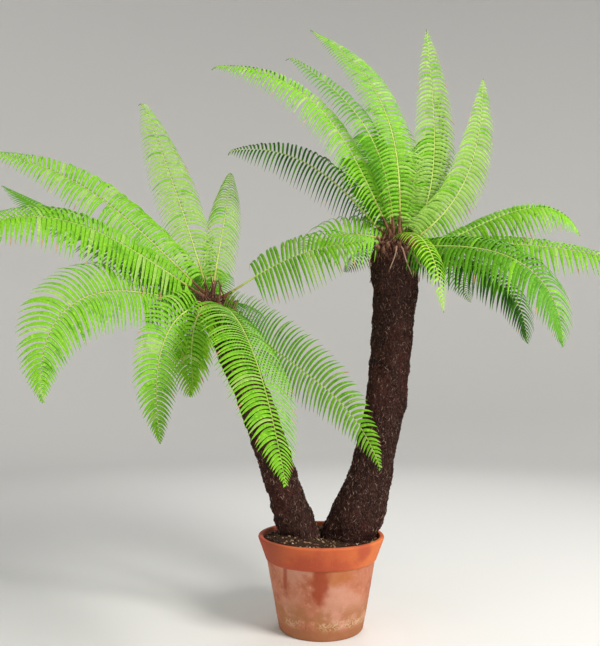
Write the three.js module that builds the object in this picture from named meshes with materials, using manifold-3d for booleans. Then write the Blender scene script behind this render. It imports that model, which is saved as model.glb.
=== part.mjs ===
// A potted tree fern: two dark fibrous trunks that lean apart from one root in a terracotta pot,
// each with a crown of arching fronds. Millimetres, +Z up, +Y away from the viewer.
// The origin is the centre of the pot's flat underside.

import * as THREE from 'three';
import { mergeVertices } from 'three/addons/utils/BufferGeometryUtils.js';
import Module from 'manifold-3d';

const wasm = await Module();
wasm.setup();

// Clearance between pieces that touch on the real plant
const GAP = 0.3;

// Pot
const POT_HEIGHT = 265;
const RIM_RADIUS = 180;
const BAND_FOOT_RADIUS = 158;
const BAND_HEIGHT = 66;
const BODY_TOP_RADIUS = 155;
const FOOT_RADIUS = 121;
const FOOT_ROUNDING = 6;
const ARC_MIDDLE = 0.3;
const BAND_STEP = 1;
const WALL = 14;
const POT_FLOOR = 16;
const LIP_ROUNDING = 3;
const POT_SIDES = 36;

// Soil, filled to just under the rim
const SOIL_TOP = 257;

// Trunks: height of each growing tip, place of its foot and its head, and its thickness
const TRUNK_SIDES = 14;
const TRUNK_RINGS = 18;
const DOME_RINGS = 5;
const TRUNK_FOOT = SOIL_TOP + GAP;
const LUMPS = [
  { share: 0.035, lobes: 3, rise: 45 },
  { share: 0.02, lobes: 5, rise: -27 },
];
const SWELLING_BELOW_TIP = 1.6;
const SWELLING_SPREAD = 90;
const TRUNKS = {
  left: {
    foot: [-62, -10], head: [-308, -30], top: 944, straighten: 1, bow: 12,
    radius: 49, flare: 10, flareRise: 0, flareSpread: 90, swelling: 3,
    domeHeight: 60,
  },
  right: {
    foot: [80, 15], head: [214, 20], top: 1122, straighten: 2.7, bow: 0,
    radius: 57, flare: 24, flareRise: 40, flareSpread: 110, swelling: 8,
    domeHeight: 70,
  },
};
const HEART_DEPTH = 10;

// Cut stubs of old stalks round each head
const STUB_COUNT = 26;
const STUB_LENGTHS = [26, 33, 29, 36, 31];
const STUB_BELOW_TIP = [62, 44, 53, 35, 26];
const STUB_RISES = [50, 68, 62, 56];
const STUB_RADIUS = 6;
const STUB_TAPER = 0.7;
const STUB_SIDES = 5;
const STUB_ROOT = 12;
const STUB_CLEARANCE = 2;
const GOLDEN_ANGLE = 137.5;

// Fronds. heading: 0 is towards +X and 90 is away from the viewer. rise and fall: the slope at the
// base and at the tip. bend: where the curve comes, later when larger. sweep: how far the heading
// turns. roll: the twist of the blade. leaf: share of the longest leaflet. hang: how far leaflets
// droop. out and lift: where the stalk starts, from the heart. bare: share of the stalk without
// leaflets. Angles in degrees, sizes in mm.
const COMMON = { bend: 1, sweep: 0, roll: 0, leaf: 1, hang: 0.35, out: 25, lift: 0, bare: 0.07 };
const FRONDS = {
  left: {
    upright: {
      heading: 143, rise: 68, fall: 65, length: 670, bend: 0.85, sweep: 7, roll: -40, leaf: 0.8,
      hang: 0.7, out: 20, lift: 25,
    },
    short_upright: {
      heading: 74, rise: 73, fall: 54, length: 490, bend: 0.55, sweep: 18, roll: 20, leaf: 0.7,
      hang: 0.95, out: 5, lift: 25,
    },
    reaching_high: {
      heading: 182, rise: 44, fall: 8, length: 710, bend: 1.8, sweep: 12, roll: -60, leaf: 0.9,
      hang: 0.7, lift: 20,
    },
    reaching_low: {
      heading: 205, rise: 30, fall: -36, length: 690, bend: 1.7, sweep: 14, roll: -45, leaf: 1.3,
      hang: 0.65, lift: 5,
    },
    reaching_behind: { heading: 158, rise: 29, fall: 29, length: 865, roll: -20, out: 30, lift: -6 },
    arching: {
      heading: 218, rise: 6, fall: -96, length: 655, bend: 1.6, sweep: 23, roll: -61, leaf: 1.1,
      lift: -20,
    },
    drooping: {
      heading: 237, rise: -4, fall: -100, length: 475, bend: 0.65, sweep: 4, roll: -67,
      leaf: 0.8, lift: -25,
    },
    drooping_middle: {
      heading: 243, rise: -30, fall: -92, length: 270, bend: 0.55, roll: -5, leaf: 0.9,
      hang: 0.7, lift: -34,
    },
    drooping_small: {
      heading: 252, rise: -14, fall: -100, length: 280, bend: 0.6, sweep: -3, roll: -38,
      leaf: 0.65, hang: 0.55, lift: -20,
    },
    drooping_front: {
      heading: 296, rise: 1, fall: -45, length: 760, bend: 0.4, sweep: -13, roll: -16, leaf: 1.1,
      lift: -25,
    },
    drooping_right: {
      heading: 301, rise: -28, fall: -68, length: 735, bend: 3.4, sweep: 32, roll: 79,
      leaf: 0.85, hang: 0.15, lift: -8,
    },
    thin_stalk: {
      heading: -5, rise: 32, fall: 3, length: 440, bend: 1.3, sweep: -10, roll: 50, leaf: 1.45,
      hang: 0.5, bare: 0.26,
    },
    rear_left: { heading: 122, rise: 30, fall: -40, length: 580, roll: -20 },
    rear_right: { heading: 78, rise: 14, fall: -32, length: 420, lift: -20 },
    rear_low: { heading: 105, rise: 24, fall: -25, length: 460, lift: -15 },
    rear_short: { heading: 98, rise: 45, fall: 0, length: 340, leaf: 0.7, out: 30, lift: 5 },
  },
  right: {
    low_left: { heading: 181, rise: 14, fall: -28, length: 255, roll: -55, leaf: 1.2, hang: 0.5 },
    shaded_left: {
      heading: 159, rise: 50, fall: -18, length: 580, bend: 1.5, sweep: 57, roll: 42, leaf: 0.85,
      hang: 0.8, lift: 12,
    },
    long_left: {
      heading: 190, rise: 64, fall: 1, length: 745, bend: 1.65, sweep: -8, roll: -45, leaf: 1.15,
      hang: 0.65, out: 14, lift: 20,
    },
    slim_left: {
      heading: 189, rise: 84, fall: 35, length: 615, bend: 0.9, sweep: -17, roll: -50,
      leaf: 0.75, hang: 0.5, out: 4, lift: 42,
    },
    tall_left: {
      heading: 142, rise: 92, fall: 40, length: 830, bend: 0.95, sweep: -3, roll: -36,
      leaf: 0.65, hang: 0.45, out: -15, lift: 5,
    },
    curled_top: {
      heading: 60, rise: 84, fall: -30, length: 500, bend: 4.5, sweep: 110, roll: -20, leaf: 0.9,
      out: 28, lift: 5,
    },
    tallest: {
      heading: 27, rise: 31, fall: 99, length: 675, bend: 0.4, sweep: 11, roll: 67, leaf: 0.8,
      hang: 0.75, out: 30,
    },
    slim_right: { heading: 38, rise: 50, fall: 98, length: 540, leaf: 0.5, out: 44, lift: -12 },
    tall_right: {
      heading: 9, rise: 35, fall: 87, length: 595, bend: 0.8, sweep: 12, roll: 85, leaf: 0.75,
      hang: 0.8, out: 35, lift: -14,
    },
    arching_right: {
      heading: 352, rise: 25, fall: -65, length: 525, bend: 3, sweep: 5, roll: 35, leaf: 1.35,
      hang: 0.9, out: 55, lift: -52,
    },
    level_right: {
      heading: 346, rise: -3, fall: -22, length: 640, bend: 1.6, sweep: -10, roll: 38, leaf: 1.2,
      hang: 0.65, lift: -12,
    },
    drooping_right: {
      heading: 320, rise: -6, fall: -86, length: 600, bend: 1.6, sweep: 20, roll: 38, leaf: 1.35,
      hang: 0.6, lift: -25,
    },
    small_front: {
      heading: 293, rise: 14, fall: -78, length: 375, bend: 0.6, leaf: 0.5, hang: 0.6, out: 10,
    },
    drooping_under: {
      heading: 338, rise: -10, fall: -85, length: 480, bend: 1.5, roll: 35, leaf: 1.15,
      hang: 0.6, lift: -45,
    },
    rear_upright: { heading: 98, rise: 72, fall: 25, length: 650, out: 22, lift: 12 },
    rear_tall: { heading: 62, rise: 60, fall: 45, length: 600, out: 38, lift: -4 },
    rear_high: { heading: 78, rise: 40, fall: -40, length: 650, out: 32, lift: -18 },
    rear_left: { heading: 104, rise: 62, fall: 22, length: 620 },
    rear_right: { heading: 52, rise: 22, fall: -42, length: 560, out: 30, lift: -35 },
    rear_low_left: { heading: 108, rise: 16, fall: -24, length: 360, leaf: 0.8, hang: 0.9, lift: -5 },
    rear_low: { heading: 85, rise: 8, fall: -38, length: 440, leaf: 0.8, lift: -15 },
  },
};

// Frond blade: the rib is a three-sided bar, flat on top, and each leaflet is a long tooth on it
const RIB_STEP = 5;
const RIB_WIDTH = 8;
const RIB_DEPTH = 7;
const RIB_TIP_SHARE = 0.3;
const LEAFLET_LENGTH = 100;
const LEAFLET_PITCH = 23;
const LEAFLET_SHARE = 0.72;
const BARE_START = 2;
const BARE_TIP = 8;
const LEAN_BASE = 86;
const LEAN_TIP = 45;
const LEAN_POWER = 2.5;
const SPLIT_TURN = 80;
const SPLIT_RANGE = [0.35, 0.72];
const OPENING = { base: 0.7, rate: 1.6 };
const CLOSING = { from: 0.4, power: 1.9, round: 0.9 };
const LEAFLET_CLEARANCE = 0.4;
const SEARCH_BACK = -70;
const SEARCH_OUT = 90;
const SEARCH_HALVINGS = 12;
const PROBE = 6;

const COLOURS = {
  terracotta: new THREE.Color(0.72, 0.35, 0.2),
  soil: new THREE.Color(0.12, 0.075, 0.05),
  trunk: new THREE.Color(0.09, 0.06, 0.05),
  frond: new THREE.Color(0.3, 0.62, 0.14),
};

const radians = THREE.MathUtils.degToRad;
const UP = new THREE.Vector3(0, 0, 1);

function finish(colour, roughness) {
  return new THREE.MeshStandardMaterial({ color: colour, roughness, metalness: 0 });
}

// A named mesh from loose vertices and triangles
function meshFrom(name, points, triangles, material) {
  const geometry = new THREE.BufferGeometry();
  geometry.setAttribute('position', new THREE.Float32BufferAttribute(points, 3));
  geometry.setIndex(triangles);
  geometry.computeVertexNormals();
  const mesh = new THREE.Mesh(geometry, material);
  mesh.name = name;
  return mesh;
}

function solidOf(points, triangles) {
  const mesh = new wasm.Mesh({
    numProp: 3,
    vertProperties: new Float32Array(points),
    triVerts: new Uint32Array(triangles),
  });
  return new wasm.Manifold(mesh);
}

// A lathe turned to +Z up, with its seam and poles closed
function turned(name, profile, material) {
  const outline = profile.map(([radius, height]) => new THREE.Vector2(radius, height));
  const lathe = new THREE.LatheGeometry(outline, POT_SIDES);
  lathe.rotateX(Math.PI / 2);
  lathe.deleteAttribute('normal');
  lathe.deleteAttribute('uv');
  const merged = mergeVertices(lathe, 1e-3);
  const index = merged.index.array;
  const kept = [];
  for (let i = 0; i < index.length; i += 3) {
    const [a, b, c] = [index[i], index[i + 1], index[i + 2]];
    if (a !== b && b !== c && c !== a) kept.push(a, b, c);
  }
  return meshFrom(name, Array.from(merged.attributes.position.array), kept, material);
}

const bandFoot = POT_HEIGHT - BAND_HEIGHT;

// The pot's inner radius at a height, between its floor and its lip
function innerRadius(height) {
  if (height > bandFoot) {
    const share = (height - bandFoot) / BAND_HEIGHT;
    return THREE.MathUtils.lerp(BAND_FOOT_RADIUS, RIM_RADIUS, share) - WALL;
  }
  const share = height / bandFoot;
  return THREE.MathUtils.lerp(FOOT_RADIUS, BAND_FOOT_RADIUS, share) - WALL;
}

function makePot() {
  const profile = [
    [0, 0],
    [FOOT_RADIUS - FOOT_ROUNDING, 0],
    [FOOT_RADIUS - FOOT_ROUNDING * ARC_MIDDLE, FOOT_ROUNDING * ARC_MIDDLE],
    [FOOT_RADIUS, FOOT_ROUNDING],
    [BODY_TOP_RADIUS, bandFoot - BAND_STEP],
    [BAND_FOOT_RADIUS, bandFoot + BAND_STEP],
    [RIM_RADIUS, POT_HEIGHT - LIP_ROUNDING],
    [RIM_RADIUS - LIP_ROUNDING, POT_HEIGHT],
    [RIM_RADIUS - WALL + LIP_ROUNDING, POT_HEIGHT],
    [innerRadius(POT_HEIGHT - LIP_ROUNDING), POT_HEIGHT - LIP_ROUNDING],
    [innerRadius(bandFoot), bandFoot],
    [innerRadius(POT_FLOOR), POT_FLOOR],
    [0, POT_FLOOR],
  ];
  return turned('pot', profile, finish(COLOURS.terracotta, 0.85));
}

function makeSoil() {
  const foot = POT_FLOOR + GAP;
  const profile = [
    [0, foot],
    [innerRadius(foot) - 2 * GAP, foot],
    [innerRadius(bandFoot) - 2 * GAP, bandFoot],
    [innerRadius(SOIL_TOP) - 2 * GAP, SOIL_TOP],
    [0, SOIL_TOP],
  ];
  return turned('soil', profile, finish(COLOURS.soil, 0.95));
}

// Centre and radius of a trunk at a share of its height
function trunkAt(trunk, share) {
  const along = 1 - (1 - share) ** trunk.straighten;
  const bow = trunk.bow * Math.sin(Math.PI * share);
  const height = TRUNK_FOOT + share * (trunk.top - TRUNK_FOOT);
  const toTop = trunk.top - height;
  const fromFlare = (height - TRUNK_FOOT - trunk.flareRise) / trunk.flareSpread;
  const flare = trunk.flare * Math.exp(-(fromFlare ** 2));
  const fromSwelling = (toTop - trunk.domeHeight * SWELLING_BELOW_TIP) / SWELLING_SPREAD;
  const swelling = trunk.swelling * Math.exp(-(fromSwelling ** 2));
  const dome = toTop < trunk.domeHeight ? Math.sqrt(1 - (1 - toTop / trunk.domeHeight) ** 2) : 1;
  return {
    x: THREE.MathUtils.lerp(trunk.foot[0], trunk.head[0], along) + bow,
    y: THREE.MathUtils.lerp(trunk.foot[1], trunk.head[1], along),
    z: height,
    radius: (trunk.radius + flare + swelling) * dome,
  };
}

// Heights of a trunk's rings: even up the stem, then closer over the rounded head
function trunkShares(trunk) {
  const domeShare = 1 - trunk.domeHeight / (trunk.top - TRUNK_FOOT);
  const shares = [];
  for (let i = 0; i <= TRUNK_RINGS; i++) shares.push((domeShare * i) / TRUNK_RINGS);
  for (let i = 1; i < DOME_RINGS; i++) {
    const angle = ((Math.PI / 2) * i) / DOME_RINGS;
    shares.push(domeShare + (1 - domeShare) * Math.sin(angle));
  }
  return shares;
}

function trunkSolid(trunk) {
  const points = [];
  const triangles = [];
  const shares = trunkShares(trunk);
  shares.forEach((share) => {
    const ring = trunkAt(trunk, share);
    for (let i = 0; i < TRUNK_SIDES; i++) {
      const angle = (2 * Math.PI * i) / TRUNK_SIDES;
      const lumps = LUMPS.map((lump) => lump.share * Math.sin(lump.lobes * angle + ring.z / lump.rise));
      const radius = ring.radius * lumps.reduce((sum, lump) => sum + lump, 1);
      points.push(ring.x + radius * Math.cos(angle));
      points.push(ring.y + radius * Math.sin(angle));
      points.push(ring.z);
    }
  });
  const foot = points.length / 3;
  points.push(...trunk.foot, TRUNK_FOOT);
  const tip = foot + 1;
  points.push(...trunk.head, trunk.top);
  for (let i = 0; i < TRUNK_SIDES; i++) {
    const next = (i + 1) % TRUNK_SIDES;
    for (let r = 0; r < shares.length - 1; r++) {
      const low = r * TRUNK_SIDES;
      const high = low + TRUNK_SIDES;
      triangles.push(low + i, low + next, high + next, low + i, high + next, high + i);
    }
    const last = (shares.length - 1) * TRUNK_SIDES;
    triangles.push(foot, next, i, tip, last + i, last + next);
  }
  return solidOf(points, triangles);
}

// The rib as points every few millimetres, with its heading turned by sweep and its slope by bend
function ribLine(trunk, frond) {
  const heading = radians(frond.heading);
  const start = new THREE.Vector3(
    trunk.head[0] + frond.out * Math.cos(heading),
    trunk.head[1] + frond.out * Math.sin(heading),
    trunk.top - HEART_DEPTH + frond.lift,
  );
  const steps = Math.round(frond.length / RIB_STEP);
  const line = [];
  const point = start.clone();
  for (let i = 0; i <= steps; i++) {
    const share = i / steps;
    const late = share ** frond.bend;
    const eased = late * late * (3 - 2 * late);
    const slope = radians(THREE.MathUtils.lerp(frond.rise, frond.fall, eased));
    const turn = heading + radians(frond.sweep) * share;
    const along = new THREE.Vector3(
      Math.cos(slope) * Math.cos(turn), Math.cos(slope) * Math.sin(turn), Math.sin(slope),
    );
    line.push({ point: point.clone(), along, side: new THREE.Vector3(-Math.sin(turn), Math.cos(turn), 0) });
    point.addScaledVector(along, frond.length / steps);
  }
  return line;
}

// A place on the rib, which runs straight on below its start
function ribAt(line, frond, distance) {
  const steps = line.length - 1;
  const place = THREE.MathUtils.clamp((distance / frond.length) * steps, 0, steps);
  const low = Math.min(Math.floor(place), steps - 1);
  const share = place - low;
  const point = line[low].point.clone().lerp(line[low + 1].point, share);
  const along = line[low].along.clone().lerp(line[low + 1].along, share).normalize();
  const side = line[low].side.clone().lerp(line[low + 1].side, share).normalize();
  if (distance < 0) point.addScaledVector(along, distance);
  const normal = along.clone().cross(side).normalize();
  const roll = radians(frond.roll);
  const across = side.clone().multiplyScalar(Math.cos(roll)).addScaledVector(normal, Math.sin(roll));
  const flat = along.clone().cross(across).normalize();
  return { point, along, across, flat };
}

// The three corners of the rib's section: left edge, right edge and keel
function ribSection(line, frond, distance) {
  const place = ribAt(line, frond, distance);
  const taper = THREE.MathUtils.lerp(1, RIB_TIP_SHARE, THREE.MathUtils.clamp(distance / frond.length, 0, 1));
  const half = (RIB_WIDTH * taper) / 2;
  return {
    left: place.point.clone().addScaledVector(place.across, half),
    right: place.point.clone().addScaledVector(place.across, -half),
    keel: place.point.clone().addScaledVector(place.flat, -RIB_DEPTH * taper),
  };
}

// Share of the longest leaflet at a share of the frond's length: short low down, then long, then tapering
function leafletShare(share, bare) {
  const used = (share - bare) / (1 - bare);
  const opening = Math.min(1, OPENING.base + OPENING.rate * used);
  const closing = 1 - Math.max(0, (used - CLOSING.from) / (1 - CLOSING.from)) ** CLOSING.power;
  return opening * Math.max(0, closing) ** CLOSING.round;
}

function leafletTip(line, frond, distance, sign) {
  const share = distance / frond.length;
  const place = ribAt(line, frond, distance);
  const lean = radians(THREE.MathUtils.lerp(LEAN_BASE, LEAN_TIP, share ** LEAN_POWER));
  const reach = place.across.clone().multiplyScalar(sign * Math.sin(lean));
  reach.addScaledVector(place.along, Math.cos(lean)).addScaledVector(UP, -frond.hang);
  const length = LEAFLET_LENGTH * frond.leaf * leafletShare(share, frond.bare);
  reach.normalize().multiplyScalar(length + RIB_WIDTH / 2);
  return place.point.clone().add(reach);
}

function tetrahedron(a, b, c, d) {
  const points = [a, b, c, d].flatMap((corner) => corner.toArray());
  return solidOf(points, [0, 1, 2, 1, 3, 2, 0, 2, 3, 0, 3, 1]);
}

// The rib alone, from one distance to another
function ribSolid(line, frond, from, to) {
  const count = Math.max(1, Math.round((to - from) / (LEAFLET_PITCH * 2)));
  const points = [];
  const triangles = [];
  for (let i = 0; i <= count; i++) {
    const section = ribSection(line, frond, from + ((to - from) * i) / count);
    points.push(...section.left.toArray(), ...section.right.toArray(), ...section.keel.toArray());
  }
  for (let i = 0; i < count; i++) {
    for (let c = 0; c < 3; c++) {
      const a = 3 * i + c;
      const b = 3 * i + ((c + 1) % 3);
      triangles.push(a, b, b + 3, a, b + 3, a + 3);
    }
  }
  const end = 3 * count;
  triangles.push(0, 2, 1, end, end + 1, end + 2);
  return solidOf(points, triangles);
}

// Where the stalk leaves its trunk: the nearest start with the full clearance
function stalkStart(line, frond, trunk) {
  const clear = (distance) => ribSolid(line, frond, distance, distance + PROBE).minGap(trunk, 2 * GAP) >= GAP;
  let low = SEARCH_OUT;
  while (low > SEARCH_BACK && clear(low)) low -= PROBE / 2;
  let high = low + PROBE / 2;
  for (let i = 0; i < SEARCH_HALVINGS; i++) {
    const middle = (low + high) / 2;
    if (clear(middle)) high = middle;
    else low = middle;
  }
  return high;
}

// Distances of the leaflets' two edges and middle along one piece of a frond
function leafletPlaces(frond, from, to) {
  const first = Math.max(from + BARE_START, frond.bare * frond.length);
  const count = Math.floor((to - BARE_TIP - first) / LEAFLET_PITCH);
  const places = [];
  for (let i = 0; i < count; i++) {
    const middle = first + (i + 0.5) * ((to - BARE_TIP - first) / count);
    const half = (LEAFLET_PITCH * LEAFLET_SHARE) / 2;
    places.push({ from: middle - half, middle, to: middle + half });
  }
  return places;
}

// One piece of a frond as a single closed skin: rib, and a tooth for each leaflet that is kept
function bladeMesh(name, line, frond, piece) {
  const points = [];
  const triangles = [];
  const add = (corner) => {
    points.push(...corner.toArray());
    return points.length / 3 - 1;
  };
  const first = ribSection(line, frond, piece.from);
  let left = add(first.left);
  let right = add(first.right);
  let keel = add(first.keel);
  triangles.push(left, keel, right);
  const join = (nextLeft, nextRight, nextKeel) => {
    triangles.push(left, right, nextRight, left, nextRight, nextLeft);
    triangles.push(left, nextKeel, keel, left, nextLeft, nextKeel);
    triangles.push(right, keel, nextKeel, right, nextKeel, nextRight);
  };
  piece.leaflets.forEach((leaflet) => {
    const near = ribSection(line, frond, leaflet.from);
    const far = ribSection(line, frond, leaflet.to);
    const under = add(ribSection(line, frond, leaflet.middle).keel);
    const nearLeft = add(near.left);
    const nearRight = add(near.right);
    join(nearLeft, nearRight, under);
    const farLeft = add(far.left);
    const farRight = add(far.right);
    triangles.push(nearLeft, nearRight, farRight, nearLeft, farRight, farLeft);
    if (leaflet.left) {
      const tip = add(leaflet.left);
      triangles.push(nearLeft, farLeft, tip, farLeft, under, tip, under, nearLeft, tip);
    } else triangles.push(nearLeft, farLeft, under);
    if (leaflet.right) {
      const tip = add(leaflet.right);
      triangles.push(farRight, nearRight, tip, nearRight, under, tip, under, farRight, tip);
    } else triangles.push(farRight, nearRight, under);
    left = farLeft;
    right = farRight;
    keel = under;
  });
  const last = ribSection(line, frond, piece.to);
  const endLeft = add(last.left);
  const endRight = add(last.right);
  const endKeel = add(last.keel);
  join(endLeft, endRight, endKeel);
  triangles.push(endLeft, endRight, endKeel);
  return meshFrom(name, points, triangles, finish(COLOURS.frond, 0.55));
}

// Whether a solid keeps its clearance from every placed solid of other fronds
function keepsClear(solid, owner, placed) {
  const box = solid.boundingBox();
  return placed.every((other) => {
    if (other.owner === owner) return true;
    const apart = [0, 1, 2].some(
      (axis) => box.min[axis] > other.box.max[axis] + LEAFLET_CLEARANCE
        || box.max[axis] < other.box.min[axis] - LEAFLET_CLEARANCE,
    );
    return apart || solid.minGap(other.solid, LEAFLET_CLEARANCE) >= LEAFLET_CLEARANCE;
  });
}

// A tapered stub that leans out and up from the head
function stubSolid(trunk, index) {
  const heading = radians(index * GOLDEN_ANGLE);
  const height = trunk.top - STUB_BELOW_TIP[index % STUB_BELOW_TIP.length];
  const ring = trunkAt(trunk, (height - TRUNK_FOOT) / (trunk.top - TRUNK_FOOT));
  const outward = new THREE.Vector3(Math.cos(heading), Math.sin(heading), 0);
  const rise = radians(STUB_RISES[index % STUB_RISES.length]);
  const along = outward.clone().multiplyScalar(Math.cos(rise)).addScaledVector(UP, Math.sin(rise));
  const side = new THREE.Vector3(-outward.y, outward.x, 0);
  const flat = along.clone().cross(side);
  const root = new THREE.Vector3(ring.x, ring.y, ring.z).addScaledVector(outward, ring.radius - STUB_ROOT);
  const length = STUB_LENGTHS[index % STUB_LENGTHS.length];
  const points = [];
  const triangles = [];
  [[0, 1], [length, STUB_TAPER]].forEach(([distance, taper]) => {
    for (let i = 0; i < STUB_SIDES; i++) {
      const angle = (2 * Math.PI * i) / STUB_SIDES;
      const corner = root.clone().addScaledVector(along, distance)
        .addScaledVector(side, STUB_RADIUS * taper * Math.cos(angle))
        .addScaledVector(flat, STUB_RADIUS * taper * Math.sin(angle));
      points.push(...corner.toArray());
    }
  });
  for (let i = 0; i < STUB_SIDES; i++) {
    const next = (i + 1) % STUB_SIDES;
    const top = STUB_SIDES + i;
    const topNext = STUB_SIDES + next;
    triangles.push(i, topNext, next, i, top, topNext);
  }
  for (let i = 1; i < STUB_SIDES - 1; i++) {
    triangles.push(0, i, i + 1, STUB_SIDES, STUB_SIDES + i + 1, STUB_SIDES + i);
  }
  const stub = solidOf(points, triangles);
  return stub.volume() > 0 ? stub : solidOf(points, triangles.toReversed());
}

function meshOf(name, solid, material) {
  const mesh = solid.getMesh();
  return meshFrom(name, Array.from(mesh.vertProperties), Array.from(mesh.triVerts), material);
}

const plant = new THREE.Group();
plant.add(makePot(), makeSoil());

const bare = { left: trunkSolid(TRUNKS.left), right: trunkSolid(TRUNKS.right) };
const placed = [];
const fronds = [];
for (const [crown, rows] of Object.entries(FRONDS)) {
  for (const [name, row] of Object.entries(rows)) {
    const frond = { ...COMMON, ...row, owner: `${crown}_${name}`, crown };
    frond.line = ribLine(TRUNKS[crown], frond);
    frond.start = stalkStart(frond.line, frond, bare[crown]);
    const solid = ribSolid(frond.line, frond, frond.start, frond.length);
    placed.push({ owner: frond.owner, solid, box: solid.boundingBox() });
    fronds.push(frond);
  }
}

for (const [crown, trunk] of Object.entries(TRUNKS)) {
  let solid = bare[crown];
  for (let i = 0; i < STUB_COUNT; i++) {
    const stub = stubSolid(trunk, i);
    const clear = placed.every((other) => stub.minGap(other.solid, STUB_CLEARANCE) >= STUB_CLEARANCE);
    if (clear) solid = solid.add(stub);
  }
  plant.add(meshOf(`${crown}_trunk`, solid, finish(COLOURS.trunk, 0.95)));
  placed.push({ owner: `${crown}_trunk`, solid, box: solid.boundingBox() });
}

for (const frond of fronds) {
  const { line, owner } = frond;
  const split = Math.abs(frond.rise - frond.fall) > SPLIT_TURN;
  const bendShare = THREE.MathUtils.clamp(0.5 ** (1 / frond.bend), ...SPLIT_RANGE);
  const middle = frond.length * bendShare;
  const pieces = split
    ? [{ from: frond.start, to: middle - GAP / 2 }, { from: middle + GAP / 2, to: frond.length }]
    : [{ from: frond.start, to: frond.length }];
  pieces.forEach((piece, index) => {
    piece.leaflets = leafletPlaces(frond, piece.from, piece.to);
    piece.leaflets.forEach((leaflet) => {
      const near = ribSection(line, frond, leaflet.from);
      const far = ribSection(line, frond, leaflet.to);
      const under = ribSection(line, frond, leaflet.middle).keel;
      const sides = { left: [near.left, far.left, 1], right: [far.right, near.right, -1] };
      for (const [side, [a, b, sign]] of Object.entries(sides)) {
        const tip = leafletTip(line, frond, leaflet.middle, sign);
        const solid = tetrahedron(a, b, under, tip);
        if (keepsClear(solid, owner, placed)) {
          leaflet[side] = tip;
          placed.push({ owner, solid, box: solid.boundingBox() });
        }
      }
    });
    const name = `${owner}_frond${split ? ['_base', '_tip'][index] : ''}`;
    plant.add(bladeMesh(name, line, frond, piece));
  });
}

export default plant;
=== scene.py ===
"""A potted tree fern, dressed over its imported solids: pot, potting mix, two fibrous trunks and their fronds.

Metres and degrees, +Z up, +Y away from the viewer. The origin is the centre of the pot's flat underside.
"""

import logging
import math
import random
from dataclasses import dataclass, field
from enum import Enum
from typing import NamedTuple

import bpy
import numpy as np
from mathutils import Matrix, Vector, noise


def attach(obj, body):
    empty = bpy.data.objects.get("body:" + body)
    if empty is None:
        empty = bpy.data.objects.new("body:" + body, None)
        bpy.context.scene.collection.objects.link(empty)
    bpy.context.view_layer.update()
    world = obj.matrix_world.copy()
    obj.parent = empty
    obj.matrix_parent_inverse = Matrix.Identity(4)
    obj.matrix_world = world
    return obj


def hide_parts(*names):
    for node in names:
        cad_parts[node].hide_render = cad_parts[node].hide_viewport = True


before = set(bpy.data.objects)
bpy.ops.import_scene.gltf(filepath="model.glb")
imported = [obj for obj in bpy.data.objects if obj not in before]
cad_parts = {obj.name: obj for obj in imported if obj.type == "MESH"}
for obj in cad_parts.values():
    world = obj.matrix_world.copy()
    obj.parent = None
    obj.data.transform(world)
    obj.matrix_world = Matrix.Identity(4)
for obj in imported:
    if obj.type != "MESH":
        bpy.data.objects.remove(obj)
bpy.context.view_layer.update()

log = logging.getLogger("tree_fern")
UP = np.array([0.0, 0.0, 1.0])
GOLDEN_ANGLE = 137.5
Triple = tuple[float, float, float]
Colour = Triple
Pair = tuple[float, float]
Socket = bpy.types.NodeSocket
# Where a smooth step starts and ends and the value past it, which is 1 if not given.
Step = tuple[float, ...]


class Slot(Enum):
    """The record's material slots."""

    POT = "terracotta"
    SOIL = "potting_mix"
    TRUNK = "root_mantle"
    FROND = "frond_leaf"


class Tint(Enum):
    """The greens that are dealt out to the fronds, in the order of the leaflet tree's inputs."""

    FRESH = 0
    # Painted light: a paler yellow-green that stands for the glow of backlit leaves and their whitish sheen.
    PALE = 1
    MIDDLE = 2
    # Painted shade: a darker copy of the green for fronds that lie behind or under others or show their shaded
    # underside.
    DEEP = 3
    YOUNG = 4


NEXT_TINT = {
    Tint.FRESH: Tint.PALE,
    Tint.PALE: Tint.FRESH,
    Tint.MIDDLE: Tint.FRESH,
    Tint.DEEP: Tint.MIDDLE,
    Tint.YOUNG: Tint.FRESH,
}


# Node trees


def opaque(colour: Colour) -> tuple[float, float, float, float]:
    """A colour with full alpha."""
    return (*colour, 1.0)


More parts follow.
